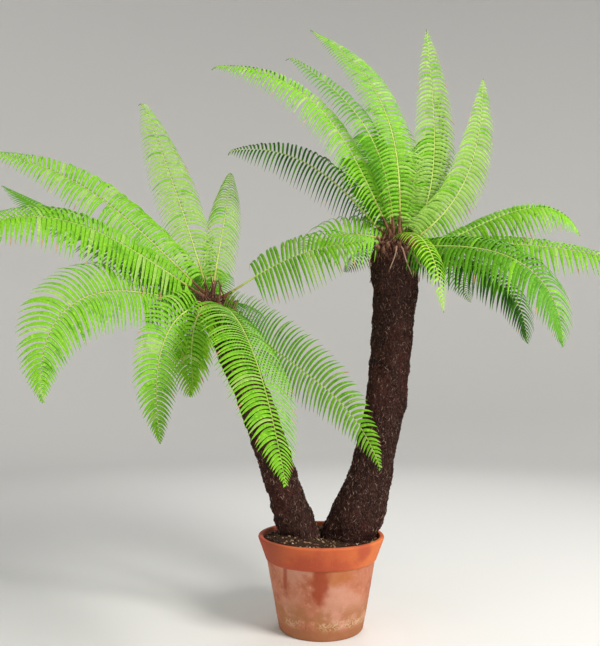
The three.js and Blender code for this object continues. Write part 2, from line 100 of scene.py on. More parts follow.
class Nodes:
    """A node tree with short calls that add a node and give its output socket."""

    def __init__(self, tree: bpy.types.NodeTree) -> None:
        """Holds the tree."""
        self.tree = tree

    def add(self, kind: str, inputs: dict | None = None, **settings: object) -> bpy.types.Node:
        """Adds a node.

        Args:
            kind: The node's type.
            inputs: A value or a socket for each input, by name or number.
            settings: The node's own properties.

        Returns:
            The node.
        """
        node = self.tree.nodes.new(kind)
        for key, value in settings.items():
            setattr(node, key, value)
        for key, value in (inputs or {}).items():
            self.feed(node.inputs[key], value)
        return node

    def feed(self, socket: Socket, value: object) -> None:
        """Links a socket to an input, or sets the input's plain value.

        Args:
            socket: The input.
            value: The socket or the plain value.
        """
        if isinstance(value, Socket):
            self.tree.links.new(value, socket)
        else:
            socket.default_value = value

    def math(self, operation: str, *values: object) -> Socket:
        """The result of a Math node."""
        return self.add("ShaderNodeMath", dict(enumerate(values)), operation=operation).outputs[0]

    def plus(self, first: object, second: object) -> Socket:
        """The sum of two numbers."""
        return self.math("ADD", first, second)

    def times(self, first: object, second: object) -> Socket:
        """The product of two numbers."""
        return self.math("MULTIPLY", first, second)

    def apart(self, value: object, middle: float) -> Socket:
        """How far a number lies from a middle, on either side."""
        return self.math("ABSOLUTE", self.math("SUBTRACT", value, middle))

    def vector(self, operation: str, *values: object) -> Socket:
        """The result of a Vector Math node."""
        node = self.add("ShaderNodeVectorMath", dict(enumerate(values)), operation=operation)
        return node.outputs["Value" if operation in ("DOT_PRODUCT", "LENGTH") else "Vector"]

    def scaled(self, vector: object, factor: object) -> Socket:
        """A vector times a number."""
        return self.add("ShaderNodeVectorMath", {0: vector, "Scale": factor}, operation="SCALE").outputs[0]

    def ramp(self, value: object, low: float, high: float, end: float = 1.0) -> Socket:
        """A smooth step from 0 at low to end at high.

        Args:
            value: The number that is mapped.
            low: Where the step starts. It may lie above high.
            high: Where the step ends.
            end: The value past the step.

        Returns:
            The mapped number.
        """
        inputs = {"Value": value, 1: low, 2: high, 3: 0.0, 4: end}
        return self.add("ShaderNodeMapRange", inputs, interpolation_type="SMOOTHSTEP").outputs[0]

    def place(self) -> Socket:
        """The surface's place in its object."""
        return self.add("ShaderNodeTexCoord").outputs["Object"]

    def noise(self, place: object, scale: object, detail: float) -> Socket:
        """Noise from 0 to 1 at each place."""
        inputs = {"Vector": place, "Scale": scale, "Detail": detail}
        return self.add("ShaderNodeTexNoise", inputs).outputs["Fac"]

    def mixed(self, factor: object, first: object, second: object) -> Socket:
        """A mix of two colours."""
        return self.add("ShaderNodeMix", {0: factor, 6: first, 7: second}, data_type="RGBA").outputs[2]

    def layered(self, under: object, *layers: tuple[Colour, Socket]) -> Socket:
        """Colours laid over each other.

        Args:
            under: The lowest colour.
            layers: Each further colour with its share over the surface.

        Returns:
            The colour.
        """
        for colour, share in layers:
            under = self.mixed(share, under, opaque(colour))
        return under


class Group(Nodes):
    """A node group with named inputs and one named output."""

    def __init__(self, name: str, kind: str, inputs: dict[str, str], output: str, output_kind: str) -> None:
        """Makes the group.

        Args:
            name: The group's name.
            kind: The kind of tree.
            inputs: The socket kind of each named input.
            output: The output's name.
            output_kind: The output's socket kind.
        """
        super().__init__(bpy.data.node_groups.new(name, kind))
        new_socket = self.tree.interface.new_socket
        for label, socket in inputs.items():
            new_socket(name=label, in_out="INPUT", socket_type="NodeSocket" + socket)
        new_socket(name=output, in_out="OUTPUT", socket_type="NodeSocket" + output_kind)
        self.output = output
        self.given = self.add("NodeGroupInput").outputs

    def finish(self, result: Socket) -> bpy.types.NodeTree:
        """Links the group's result and gives its tree."""
        self.add("NodeGroupOutput", {self.output: result})
        return self.tree


def mottle_group() -> bpy.types.NodeTree:
    """The shared effect of soft patches, built once.

    Returns:
        A shader group that breaks a colour up into darker and lighter patches of two sizes.
    """
    finer, dark_step, light_step = 5.3, (0.5, 0.3), (0.5, 0.72)
    made = bpy.data.node_groups.get("Mottle")
    if made:
        return made
    kinds = {"Colour": "Color", "Dark": "Color", "Light": "Color", "Scale": "Float", "Stretch": "Vector"}
    group = Group("Mottle", "ShaderNodeTree", kinds, "Colour", "Color")
    given = group.given
    place = group.vector("MULTIPLY", group.place(), given["Stretch"])
    broad = group.noise(place, given["Scale"], 3.0)
    fine = group.noise(place, group.times(given["Scale"], finer), 2.0)
    colour = group.mixed(group.ramp(broad, *dark_step), given["Colour"], given["Dark"])
    return group.finish(group.mixed(group.ramp(fine, *light_step), colour, given["Light"]))


def grain_group() -> bpy.types.NodeTree:
    """The shared effect of a fine uneven surface, built once.

    Returns:
        A shader group that puts out a height from coarse and fine grain.
    """
    finer, pit_depth = 2.7, 0.35
    made = bpy.data.node_groups.get("Grain")
    if made:
        return made
    group = Group("Grain", "ShaderNodeTree", {"Scale": "Float", "Stretch": "Vector"}, "Height", "Float")
    given = group.given
    place = group.vector("MULTIPLY", group.place(), given["Stretch"])
    coarse = group.noise(place, given["Scale"], 4.0)
    cells = group.add("ShaderNodeTexVoronoi", {"Vector": place, "Scale": group.times(given["Scale"], finer)})
    return group.finish(group.plus(coarse, group.times(cells.outputs["Distance"], pit_depth)))


# Finishes


@dataclass(frozen=True)
class Finish:
    """A surface with soft patches and a fine grain."""

    name: str
    colour: Colour
    dark: Colour
    light: Colour
    roughness: float = 0.8
    patches: float = 40.0
    grain: float = 400.0
    relief: float = 0.0004
    stretch: Triple = (1.0, 1.0, 1.0)
    gloss: float = 0.5
    bump_strength: float = 0.8

    def material(self) -> bpy.types.Material:
        """The finish as a material, built once.

        Returns:
            The material.
        """
        made = bpy.data.materials.get(self.name)
        if made:
            return made
        made = bpy.data.materials.new(self.name)
        made.use_nodes = True
        made.diffuse_color = opaque(self.colour)
        nodes = Nodes(made.node_tree)
        inputs = made.node_tree.nodes["Principled BSDF"].inputs
        inputs["Roughness"].default_value = self.roughness
        inputs["Specular IOR Level"].default_value = self.gloss
        nodes.feed(inputs["Base Color"], self.shade(nodes))
        nodes.feed(inputs["Normal"], self.bump(nodes))
        return made

    def shade(self, nodes: Nodes) -> Socket:
        """The colour over the surface.

        Args:
            nodes: The material's tree.

        Returns:
            The colour.
        """
        inputs = {
            "Colour": opaque(self.colour), "Dark": opaque(self.dark), "Light": opaque(self.light),
            "Scale": self.patches, "Stretch": self.stretch,
        }
        return nodes.add("ShaderNodeGroup", inputs, node_tree=mottle_group()).outputs["Colour"]

    def bump(self, nodes: Nodes) -> Socket:
        """The normal that the grain gives.

        Args:
            nodes: The material's tree.

        Returns:
            The normal.
        """
        inputs = {"Scale": self.grain, "Stretch": self.stretch}
        height = nodes.add("ShaderNodeGroup", inputs, node_tree=grain_group()).outputs["Height"]
        inputs = {"Height": height, "Distance": self.relief, "Strength": self.bump_strength}
        return nodes.add("ShaderNodeBump", inputs).outputs["Normal"]


@dataclass(frozen=True)
class WeatheredClay(Finish):
    """Fired clay with an orange rim, damp streaks at the front and pale bloom and crust low down.

    The rim is painted lighter on its right and darker on its left, as painted light and shade. A noise is
    given by its scale and detail.
    """

    rim: Colour = (0.59, 0.120, 0.034)
    rim_red: Colour = (0.44, 0.065, 0.025)
    # Painted light: a lighter, warmer orange on the rim's right, where the light falls.
    rim_warm: Colour = (0.68, 0.165, 0.040)
    # Painted shade: a darker red on the rim's left, away from the light.
    rim_stain: Colour = (0.27, 0.052, 0.022)
    damp: Colour = (0.33, 0.052, 0.014)
    wash: Colour = (0.46, 0.140, 0.038)
    bloom: Colour = (0.64, 0.33, 0.235)
    ochre: Colour = (0.37, 0.145, 0.045)
    crust: Colour = (0.62, 0.44, 0.26)
    foot: Colour = (0.36, 0.13, 0.05)
    rough_noise: Pair = (28.0, 4.0)
    cloud_noise: Pair = (9.0, 3.0)
    fine_noise: Pair = (190.0, 2.0)
    run_noise: Pair = (1.0, 2.0)
    run_stretch: Triple = (60.0, 60.0, 6.0)
    height_fray: float = 0.03
    bloom_step: Step = (0.44, 0.62, 0.60)
    run_step: Step = (0.60, 0.74, 0.45)
    ochre_height: Step = (0.118, 0.070)
    ochre_break: Step = (0.34, 0.56, 0.80)
    foot_height: Step = (0.036, 0.020, 0.75)
    crust_middle: float = 0.044
    crust_step: Step = (0.017, 0.003)
    crust_grit: Step = (0.44, 0.60, 0.75)
    crust_break: Step = (0.38, 0.56)
    rim_height: Step = (0.196, 0.200)
    # Where the painted light on the rim's right comes in, along X.
    warm_step: Step = (0.04, 0.13)
    # Where the painted shade on the rim's left comes in, along X.
    stain_step: Step = (-0.07, -0.15, 0.75)
    red_step: Step = (0.42, 0.62, 0.80)
    rim_bloom_step: Step = (0.56, 0.75, 0.10)
    streak_fray: float = 0.05
    front_step: Step = (-0.02, -0.08)
    wash_middle: float = 0.026
    wash_step: Step = (0.070, 0.040, 0.85)
    wash_height: Step = (0.146, 0.176)
    core_middle: float = -0.005
    core_half: float = 0.013
    core_widening: Step = (0.115, 0.175, 0.012)
    core_step: Step = (-0.010, 0.014, 0.95)
    core_height: Step = (0.092, 0.122)
    side_middle: float = -0.100
    side_step: Step = (0.008, 0.002, 0.75)
    side_height: Step = (0.115, 0.150)

    def shade(self, nodes: Nodes) -> Socket:
        """The colour over the surface, layer by layer from the bare body up.

        Args:
            nodes: The material's tree.

        Returns:
            The colour.
        """
        place = nodes.place()
        axes = nodes.add("ShaderNodeSeparateXYZ", {0: place}).outputs
        rough, cloud, fine = (
            nodes.noise(place, *size) for size in (self.rough_noise, self.cloud_noise, self.fine_noise)
        )
        running = nodes.noise(nodes.vector("MULTIPLY", place, self.run_stretch), *self.run_noise)
        height = nodes.plus(axes["Z"], self.frayed(nodes, rough, self.height_fray))
        low = nodes.times(nodes.ramp(height, *self.ochre_height), nodes.ramp(rough, *self.ochre_break))
        ring = nodes.ramp(nodes.apart(height, self.crust_middle), *self.crust_step)
        ring = nodes.times(ring, nodes.ramp(fine, *self.crust_grit))
        ring = nodes.times(ring, nodes.ramp(cloud, *self.crust_break))
        wash, streak = self.streaks(nodes, axes, rough)
        body = nodes.layered(
            super().shade(nodes),
            (self.bloom, nodes.ramp(cloud, *self.bloom_step)),
            (self.damp, nodes.ramp(running, *self.run_step)),
            (self.ochre, low),
            (self.wash, wash),
            (self.damp, streak),
            (self.foot, nodes.ramp(height, *self.foot_height)),
            (self.crust, ring),
        )
        rim = nodes.layered(
            opaque(self.rim),
            # Painted light on the rim's right side.
            (self.rim_warm, nodes.ramp(axes["X"], *self.warm_step)),
            # Painted shade on the rim's left side.
            (self.rim_stain, nodes.ramp(axes["X"], *self.stain_step)),
            (self.rim_red, nodes.ramp(cloud, *self.red_step)),
            (self.bloom, nodes.ramp(fine, *self.rim_bloom_step)),
        )
        return nodes.mixed(nodes.ramp(axes["Z"], *self.rim_height), body, rim)

    def streaks(self, nodes: Nodes, axes: object, rough: Socket) -> tuple[Socket, Socket]:
        """Where damp has run down from under the rim at the front.

        Args:
            nodes: The material's tree.
            axes: The surface's place, axis by axis.
            rough: Noise that frays the edges.

        Returns:
            The shares of the orange wash under the rim and of the dark streaks.
        """
        fray = self.frayed(nodes, rough, self.streak_fray)
        height, aside = nodes.plus(axes["Z"], fray), nodes.plus(axes["X"], fray)
        front = nodes.ramp(axes["Y"], *self.front_step)
        wash = nodes.ramp(nodes.apart(aside, self.wash_middle), *self.wash_step)
        wash = nodes.times(wash, nodes.ramp(height, *self.wash_height))
        half = nodes.plus(self.core_half, nodes.ramp(height, *self.core_widening))
        inside = nodes.math("SUBTRACT", half, nodes.apart(aside, self.core_middle))
        core = nodes.times(nodes.ramp(inside, *self.core_step), nodes.ramp(height, *self.core_height))
        side = nodes.ramp(nodes.apart(axes["X"], self.side_middle), *self.side_step)
        side = nodes.times(side, nodes.ramp(height, *self.side_height))
        return nodes.times(wash, front), nodes.times(nodes.math("MAXIMUM", core, side), front)

    @staticmethod
    def frayed(nodes: Nodes, rough: Socket, spread: float) -> Socket:
        """Noise about 0, as wide as the spread."""
        return nodes.times(nodes.math("SUBTRACT", rough, 0.5), spread)


@dataclass(frozen=True)
class FleckedBark(Finish):
    """Matted root fibres with a red cast in places and many small pale flecks."""

    red: Colour = (0.075, 0.020, 0.015)
    fleck: Colour = (0.21, 0.145, 0.125)
    cloud_noise: Pair = (8.0, 3.0)
    grit_noise: Pair = (260.0, 2.0)
    red_step: Step = (0.50, 0.66, 0.45)
    fleck_step: Step = (0.63, 0.70, 0.75)

    def shade(self, nodes: Nodes) -> Socket:
        """The colour over the surface.

        Args:
            nodes: The material's tree.

        Returns:
            The colour.
        """
        place = nodes.place()
        reddened = nodes.ramp(nodes.noise(place, *self.cloud_noise), *self.red_step)
        flecked = nodes.ramp(nodes.noise(place, *self.grit_noise), *self.fleck_step)
        return nodes.layered(super().shade(nodes), (self.red, reddened), (self.fleck, flecked))


CLAY = WeatheredClay(
    "weathered_clay", (0.50, 0.175, 0.092), (0.41, 0.122, 0.058), (0.55, 0.215, 0.125),
    roughness=0.82, patches=18.0, grain=260.0, relief=0.0007,
)
SOIL = Finish(
    "damp_mix", (0.040, 0.022, 0.014), (0.014, 0.008, 0.006), (0.10, 0.062, 0.040),
    roughness=0.95, patches=60.0, grain=500.0, relief=0.001, gloss=0.08,
)
CRUMB_DARK = Finish(
    "crumb_dark", (0.045, 0.024, 0.015), (0.020, 0.011, 0.007), (0.10, 0.055, 0.035), 0.95, 90.0, gloss=0.08,
)
CRUMB_TAN = Finish("crumb_tan", (0.30, 0.17, 0.095), (0.17, 0.09, 0.05), (0.48, 0.31, 0.19), 0.9, 90.0)
CRUMB_PALE = Finish("crumb_pale", (0.60, 0.52, 0.42), (0.42, 0.33, 0.24), (0.78, 0.72, 0.62), 0.9, 90.0)
BARK = FleckedBark(
    "matted_roots", (0.029, 0.0130, 0.0108), (0.009, 0.0045, 0.0040), (0.105, 0.050, 0.038),
    roughness=0.92, patches=70.0, grain=420.0, relief=0.0012, stretch=(1.0, 1.0, 0.45), gloss=0.12,
)
FIBRE_DARK = Finish(
    "fibre_dark", (0.028, 0.013, 0.011), (0.012, 0.006, 0.005), (0.08, 0.038, 0.03), 0.85, 120.0, gloss=0.15,
)
FIBRE_RUST = Finish(
    "fibre_rust", (0.10, 0.036, 0.022), (0.050, 0.019, 0.013), (0.17, 0.070, 0.042), 0.85, 120.0, gloss=0.15,
)
FIBRE_FLECK = Finish(
    "fibre_fleck", (0.30, 0.195, 0.145), (0.18, 0.105, 0.075), (0.46, 0.33, 0.26), 0.8, 120.0, gloss=0.2,
)
STUB_SIDE = Finish("stub_side", (0.155, 0.06, 0.03), (0.070, 0.027, 0.014), (0.33, 0.17, 0.085), 0.75, 90.0)
STUB_CUT = Finish("stub_cut", (0.40, 0.21, 0.11), (0.22, 0.10, 0.05), (0.60, 0.40, 0.25), 0.85, 160.0)
OLD_STALK = Finish(
    "old_stalk", (0.105, 0.042, 0.024), (0.035, 0.015, 0.010), (0.24, 0.12, 0.070), 0.8, 70.0, gloss=0.2,
)
DEAD_STALK = Finish("dead_stalk", (0.46, 0.27, 0.20), (0.22, 0.11, 0.075), (0.64, 0.44, 0.34), 0.8, 60.0)
STALK_BROWN = Finish(
    "stalk_brown", (0.16, 0.060, 0.024), (0.075, 0.028, 0.013), (0.30, 0.14, 0.055), 0.6, 80.0, gloss=0.3,
)
STALK_OLIVE = Finish(
    "stalk_olive", (0.38, 0.39, 0.080), (0.27, 0.23, 0.050), (0.50, 0.50, 0.13), 0.5, 80.0, gloss=0.3,
)
RIB_YELLOW = Finish(
    "rib_yellow", (0.45, 0.58, 0.12), (0.34, 0.45, 0.07), (0.58, 0.64, 0.20), 0.5, 80.0, gloss=0.3,
)
RIB_DARK = Finish("rib_dark", (0.060, 0.045, 0.020), (0.030, 0.022, 0.012), (0.14, 0.11, 0.05), 0.6, 80.0)
LEAF_COLOURS = {
    Tint.FRESH: ((0.178, 0.448, 0.019), (0.104, 0.325, 0.010), (0.29, 0.61, 0.038)),
    # Painted light: the paler green paints the glow and whitish sheen of backlit upright fronds.
    Tint.PALE: ((0.275, 0.490, 0.078), (0.190, 0.380, 0.042), (0.41, 0.63, 0.14)),
    Tint.MIDDLE: ((0.094, 0.292, 0.012), (0.060, 0.212, 0.008), (0.16, 0.41, 0.024)),
    # Painted shade: the darker green of fronds that lie behind or under others.
    Tint.DEEP: ((0.040, 0.160, 0.010), (0.022, 0.100, 0.007), (0.080, 0.25, 0.018)),
    Tint.YOUNG: ((0.280, 0.570, 0.022), (0.195, 0.455, 0.014), (0.40, 0.71, 0.050)),
}
LEAF_SURFACE = {"roughness": 0.50, "patches": 38.0, "grain": 600.0, "relief": 0.0002, "gloss": 0.11}
LEAF = {
    tint: Finish(f"leaflet_{tint.name.lower()}", *colours, **LEAF_SURFACE)
    for tint, colours in LEAF_COLOURS.items()
}
LEAF_DRY = Finish("leaflet_dry_tip", (0.40, 0.27, 0.075), (0.25, 0.14, 0.045), (0.55, 0.42, 0.16), 0.7, 60.0)


# Meshes


def linked(made: bpy.types.Object) -> bpy.types.Object:
    """The same object, linked to the scene."""
    bpy.context.scene.collection.objects.link(made)
    return made


def drop(*objects: bpy.types.Object) -> None:
    """Removes helper objects."""
    for helper in objects:
        bpy.data.objects.remove(helper)


def mesh_object(name: str, points: np.ndarray, faces: list, smooth: bool = True) -> bpy.types.Object:
    """An object from points and faces.

    Args:
        name: The object's name.
        points: One row of three numbers for each point.
        faces: The point numbers round each face.
        smooth: Whether the faces are shaded smooth.

    Returns:
        The object, linked to the scene.
    """
    mesh = bpy.data.meshes.new(name)
    mesh.from_pydata(np.asarray(points).tolist(), [], faces)
    mesh.polygons.foreach_set("use_smooth", [smooth] * len(mesh.polygons))
    return linked(bpy.data.objects.new(name, mesh))


def give(mesh: bpy.types.Mesh, name: str, values: np.ndarray) -> None:
    """Writes a number or a vector for each point of a mesh as a named attribute.

    Args:
        mesh: The mesh.
        name: The attribute's name.
        values: A number or a row of three for each point.
    """
    kind, key = ("FLOAT_VECTOR", "vector") if np.ndim(values) > 1 else ("FLOAT", "value")
    mesh.attributes.new(name, kind, "POINT").data.foreach_set(key, np.asarray(values).ravel())


def covered(made: bpy.types.Object, cover: np.ndarray) -> bpy.types.Object:
    """A copy of a piece for small shapes to be strewn on.

    Args:
        made: The piece.
        cover: How closely they lie at each point, as a share.

    Returns:
        The copy.
    """
    copy = made.copy()
    copy.data = made.data.copy()
    give(copy.data, "cover", cover)
    return linked(copy)


@dataclass(frozen=True)
class Relief:
    """Soft lumps: how high they stand, their size along each axis, and their part of the pattern."""

    height: float
    size: Triple
    shift: float = 0.0

    def at(self, points: np.ndarray, shift: float = 0.0) -> np.ndarray:
        """How far the lumps stand out, below 0 in a hollow.

        Args:
            points: One row for each point.
            shift: A number that picks another part of the pattern.

        Returns:
            A number for each point.
        """
        rows = points / np.array(self.size) + (shift + self.shift)
        return self.height * np.array([noise.noise(Vector(row)) for row in rows])


def quarter_turn(steps: int) -> list[float]:
    """The angles of a quarter circle cut into steps."""
    return [math.radians(90 * k / steps) for k in range(steps + 1)]


def turned_rings(profile: list[Pair], sides: int) -> list[np.ndarray]:
    """A ring of points round the upright axis for each radius and height."""
    angles = 2 * np.pi * np.arange(sides) / sides
    return [np.column_stack([r * np.cos(angles), r * np.sin(angles), np.full(sides, z)]) for r, z in profile]


def ring_faces(rings: int, sides: int) -> list[tuple[int, ...]]:
    """Faces between rings of points.

    Args:
        rings: How many rings follow each other upwards.
        sides: How many points a ring has, counted anticlockwise from above.

    Returns:
        The point numbers round each face.
    """
    faces = []
    for r in range(rings - 1):
        for i in range(sides):
            low, next_low = r * sides + i, r * sides + (i + 1) % sides
            faces.append((low, next_low, next_low + sides, low + sides))
    return faces


def capped_faces(rings: int, sides: int) -> list[tuple[int, ...]]:
    """Faces between rings of points, and from the end rings to the two poles that follow them.

    Args:
        rings: How many rings follow each other upwards.
        sides: How many points a ring has.

    Returns:
        The point numbers round each face.
    """
    faces = ring_faces(rings, sides)
    first, last, top = rings * sides, rings * sides + 1, (rings - 1) * sides
    for i in range(sides):
        after = (i + 1) % sides
        faces += [(first, after, i), (last, top + i, top + after)]
    return faces


def closed_lathe(name: str, profile: list[Pair], sides: int) -> bpy.types.Object:
    """A profile turned round the upright axis, from a pole on the axis to another.

    Args:
        name: The object's name.
        profile: Radius and height, from the lower pole outwards to the last pole.
        sides: How many points a ring has.

    Returns:
        A closed mesh with one point at each pole.
    """
    middle = profile[1:-1]
    points = np.vstack([*turned_rings(middle, sides), (0, 0, profile[0][1]), (0, 0, profile[-1][1])])
    return mesh_object(name, points, capped_faces(len(middle), sides))


def stepped(profile: list[Pair], step: float) -> list[Pair]:
    """The same profile with points no further apart than a step.

    Args:
        profile: Radius and height of each point.
        step: The widest gap.

    Returns:
        The finer profile.
    """
    fine = [profile[0]]
    for (r0, z0), (r1, z1) in zip(profile, profile[1:]):
        count = max(1, math.ceil(math.hypot(r1 - r0, z1 - z0) / step))
        fine += [(r0 + (r1 - r0) * k / count, z0 + (z1 - z0) * k / count) for k in range(1, count + 1)]
    return fine


def points_of(made: bpy.types.Object) -> np.ndarray:
    """The places of a mesh's points.

    Args:
        made: The object.

    Returns:
        One row for each point.
    """
    places = np.empty(3 * len(made.data.vertices))
    made.data.vertices.foreach_get("co", places)
    return places.reshape(-1, 3)


def place_points(made: bpy.types.Object, points: np.ndarray) -> None:
    """Moves a mesh's points."""
    made.data.vertices.foreach_set("co", points.ravel())
    made.data.update()


def settle(piece: bpy.types.Object, slot: Slot, *nodes: str) -> None:
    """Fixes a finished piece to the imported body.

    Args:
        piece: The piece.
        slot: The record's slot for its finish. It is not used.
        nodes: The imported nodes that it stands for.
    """
    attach(piece, "root")
    if nodes:
        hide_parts(*nodes)
    piece.data.calc_loop_triangles()
    log.info("%s: %d triangles", piece.name, len(piece.data.loop_triangles))


# Geometry trees

LEFT_OVER = {
    "reach", "hang", "rib_way", "face_way", "root", "width", "tint", "dry", "place", "deal", "share", "cut",
}


class GeometryTree(Group):
    """A geometry tree with named inputs."""

    def __init__(self, name: str, **labels: tuple[str, ...]) -> None:
        """Makes the tree, which takes a geometry and its named inputs.

        Args:
            name: The tree's name.
            labels: The inputs' names, by the kind of their sockets.
        """
        kinds = {label: kind for kind, names in labels.items() for label in names}
        inputs = {"Geometry": "Geometry", **kinds}
        super().__init__(name, "GeometryNodeTree", inputs, "Geometry", "Geometry")

    def number(self, name: str) -> Socket:
        """A number that each point holds."""
        return self.add("GeometryNodeInputNamedAttribute", {"Name": name}).outputs["Attribute"]

    def way(self, name: str) -> Socket:
        """A vector that each point holds."""
        node = self.add("GeometryNodeInputNamedAttribute", {"Name": name}, data_type="FLOAT_VECTOR")
        return node.outputs["Attribute"]

    def store(self, geometry: object, name: str, value: object) -> Socket:
        """Keeps a number for each point under a name."""
        inputs = {"Geometry": geometry, "Name": name, "Value": value}
        return self.add("GeometryNodeStoreNamedAttribute", inputs, data_type="FLOAT").outputs["Geometry"]

    def random(self, low: object, high: object, offset: int = 0) -> Socket:
        """A random number for each point, from the tree's seed and an offset."""
        inputs = {2: low, 3: high, "Seed": self.plus(self.given["Seed"], float(offset))}
        return self.add("FunctionNodeRandomValue", inputs, data_type="FLOAT").outputs[1]

    def either_way(self, most: object, offset: int = 0) -> Socket:
        """A random number for each point, up to the most on either side of 0."""
        return self.random(self.times(most, -1.0), most, offset)

    def above(self, value: object, limit: object) -> Socket:
        """Whether a number is above a limit."""
        return self.add("FunctionNodeCompare", {0: value, 1: limit}, operation="GREATER_THAN").outputs[0]

    def paint(self, geometry: object, label: str, selection: object = True) -> Socket:
        """Gives faces the material of a named input."""
        inputs = {"Geometry": geometry, "Material": self.given[label], "Selection": selection}
        return self.add("GeometryNodeSetMaterial", inputs).outputs["Geometry"]

    def facing(self, way: object, inputs: dict | None = None, **settings: str) -> Socket:
        """A rotation that turns an axis towards a direction."""
        inputs = {"Vector": way, **(inputs or {})}
        return self.add("FunctionNodeAlignRotationToVector", inputs, **settings).outputs["Rotation"]

    def turned(self, rotation: Socket, angles: dict[int, object]) -> Socket:
        """A rotation that is turned further about its own axes.

        Args:
            rotation: The first rotation.
            angles: The angle about each axis by its number, where it isn't 0.

        Returns:
            The rotation.
        """
        turn = self.add("ShaderNodeCombineXYZ", angles).outputs[0]
        turn = self.add("FunctionNodeEulerToRotation", {0: turn}).outputs[0]
        inputs = {"Rotation": rotation, "Rotate By": turn}
        return self.add("FunctionNodeRotateRotation", inputs, rotation_space="LOCAL").outputs["Rotation"]

    def placed(self, points: object, label: str, **fit: object) -> Socket:
        """Puts the shape of a named input on each point.

        Args:
            points: The points.
            label: The input that holds the shape.
            fit: The rotation and the scale on each point.

        Returns:
            The result as plain mesh.
        """
        shape = self.add("GeometryNodeObjectInfo", {"Object": self.given[label]}).outputs["Geometry"]
        inputs = {"Points": points, "Instance": shape, **fit}
        placed = self.add("GeometryNodeInstanceOnPoints", inputs).outputs["Instances"]
        return self.add("GeometryNodeRealizeInstances", {"Geometry": placed}).outputs["Geometry"]

    def grow(self, name: str, base: bpy.types.Object, **values: object) -> bpy.types.Object:
        """Runs the tree on an object.

        Args:
            name: The new object's name.
            base: The object that the tree starts from. It is removed.
            values: The named inputs, with _ for a space, and finishes for materials.

        Returns:
            The result as a plain mesh object at the origin.
        """
        modifier = base.modifiers.new(name, "NODES")
        modifier.node_group = self.tree
        wanted = {key.replace("_", " "): value for key, value in values.items()}
        for item in self.tree.interface.items_tree:
            if item.in_out == "INPUT" and item.name in wanted:
                value = wanted[item.name]
                modifier[item.identifier] = value.material() if isinstance(value, Finish) else value
        graph = bpy.context.evaluated_depsgraph_get()
        mesh = bpy.data.meshes.new_from_object(base.evaluated_get(graph), depsgraph=graph)
        mesh.name = name
        for left in [a.name for a in mesh.attributes if a.name in LEFT_OVER]:
            mesh.attributes.remove(mesh.attributes[left])
        base.modifiers.remove(modifier)
        drop(base)
        return linked(bpy.data.objects.new(name, mesh))


def leaflet_tree() -> GeometryTree:
    """The tree that turns each leaflet point into a curved blade.

    Each point holds where its blade is rooted and how it reaches. Along the blade, place holds its
    share of the length, its share of the width and its rise, and the blade bends over by them.

    Returns:
        The tree.
    """
    turn_at_root = 0.4
    tree = GeometryTree(
        "Leaflets", Object=("Blade",), Float=("Arch", "Sickle", "Cup", "Twist", "Twist Spread", "Seed"),
        Material=(*(tint.name.title() for tint in Tint), "Dry"),
    )
    given = tree.given
    points = tree.store(given["Geometry"], "deal", tree.either_way(given["Twist Spread"]))
    blades = tree.placed(points, "Blade")

    place = tree.add("ShaderNodeSeparateXYZ", {0: tree.way("place")}).outputs
    reach, rib_way, face_way = tree.way("reach"), tree.way("rib_way"), tree.way("face_way")
    length = tree.vector("LENGTH", reach)
    rise = tree.scaled(tuple(UP), tree.times(length, given["Arch"]))
    rise = tree.vector("ADD", rise, tree.scaled(face_way, tree.times(length, given["Cup"])))
    lift = tree.vector("SUBTRACT", rise, tree.scaled(rib_way, tree.times(length, given["Sickle"])))
    start = tree.vector("ADD", reach, lift)
    sag = tree.scaled(tuple(UP), tree.times(length, tree.number("hang")))
    bend = tree.scaled(tree.vector("ADD", lift, sag), -1.0)
    along = tree.vector("ADD", start, tree.scaled(bend, place["X"]))
    spine = tree.vector("ADD", tree.way("root"), tree.scaled(along, place["X"]))
    tangent = tree.vector("ADD", start, tree.scaled(bend, tree.times(place["X"], 2.0)))
    tangent = tree.vector("NORMALIZE", tangent)
    lean = tree.scaled(tangent, tree.vector("DOT_PRODUCT", face_way, tangent))
    normal = tree.vector("NORMALIZE", tree.vector("SUBTRACT", face_way, lean))
    breadth = tree.vector("CROSS_PRODUCT", normal, tangent)
    width = tree.number("width")
    offset = tree.vector(
        "ADD",
        tree.scaled(breadth, tree.times(place["Y"], width)),
        tree.scaled(normal, tree.times(place["Z"], width)),
    )
    side = tree.math("SIGN", tree.vector("DOT_PRODUCT", breadth, rib_way))
    dealt = tree.times(tree.number("deal"), tree.plus(place["X"], turn_at_root))
    inputs = {"Vector": offset, "Axis": tangent, "Angle": tree.plus(tree.times(side, given["Twist"]), dealt)}
    offset = tree.add("ShaderNodeVectorRotate", inputs, rotation_type="AXIS_ANGLE").outputs[0]
    inputs = {"Geometry": blades, "Position": tree.vector("ADD", spine, offset)}
    blades = tree.add("GeometryNodeSetPosition", inputs).outputs["Geometry"]
    for tint in Tint:
        blades = tree.paint(blades, tint.name.title(), tree.above(tree.number("tint"), tint.value - 0.5))
    tree.finish(tree.paint(blades, "Dry", tree.above(tree.plus(place["X"], tree.number("dry")), 1.0)))
    return tree


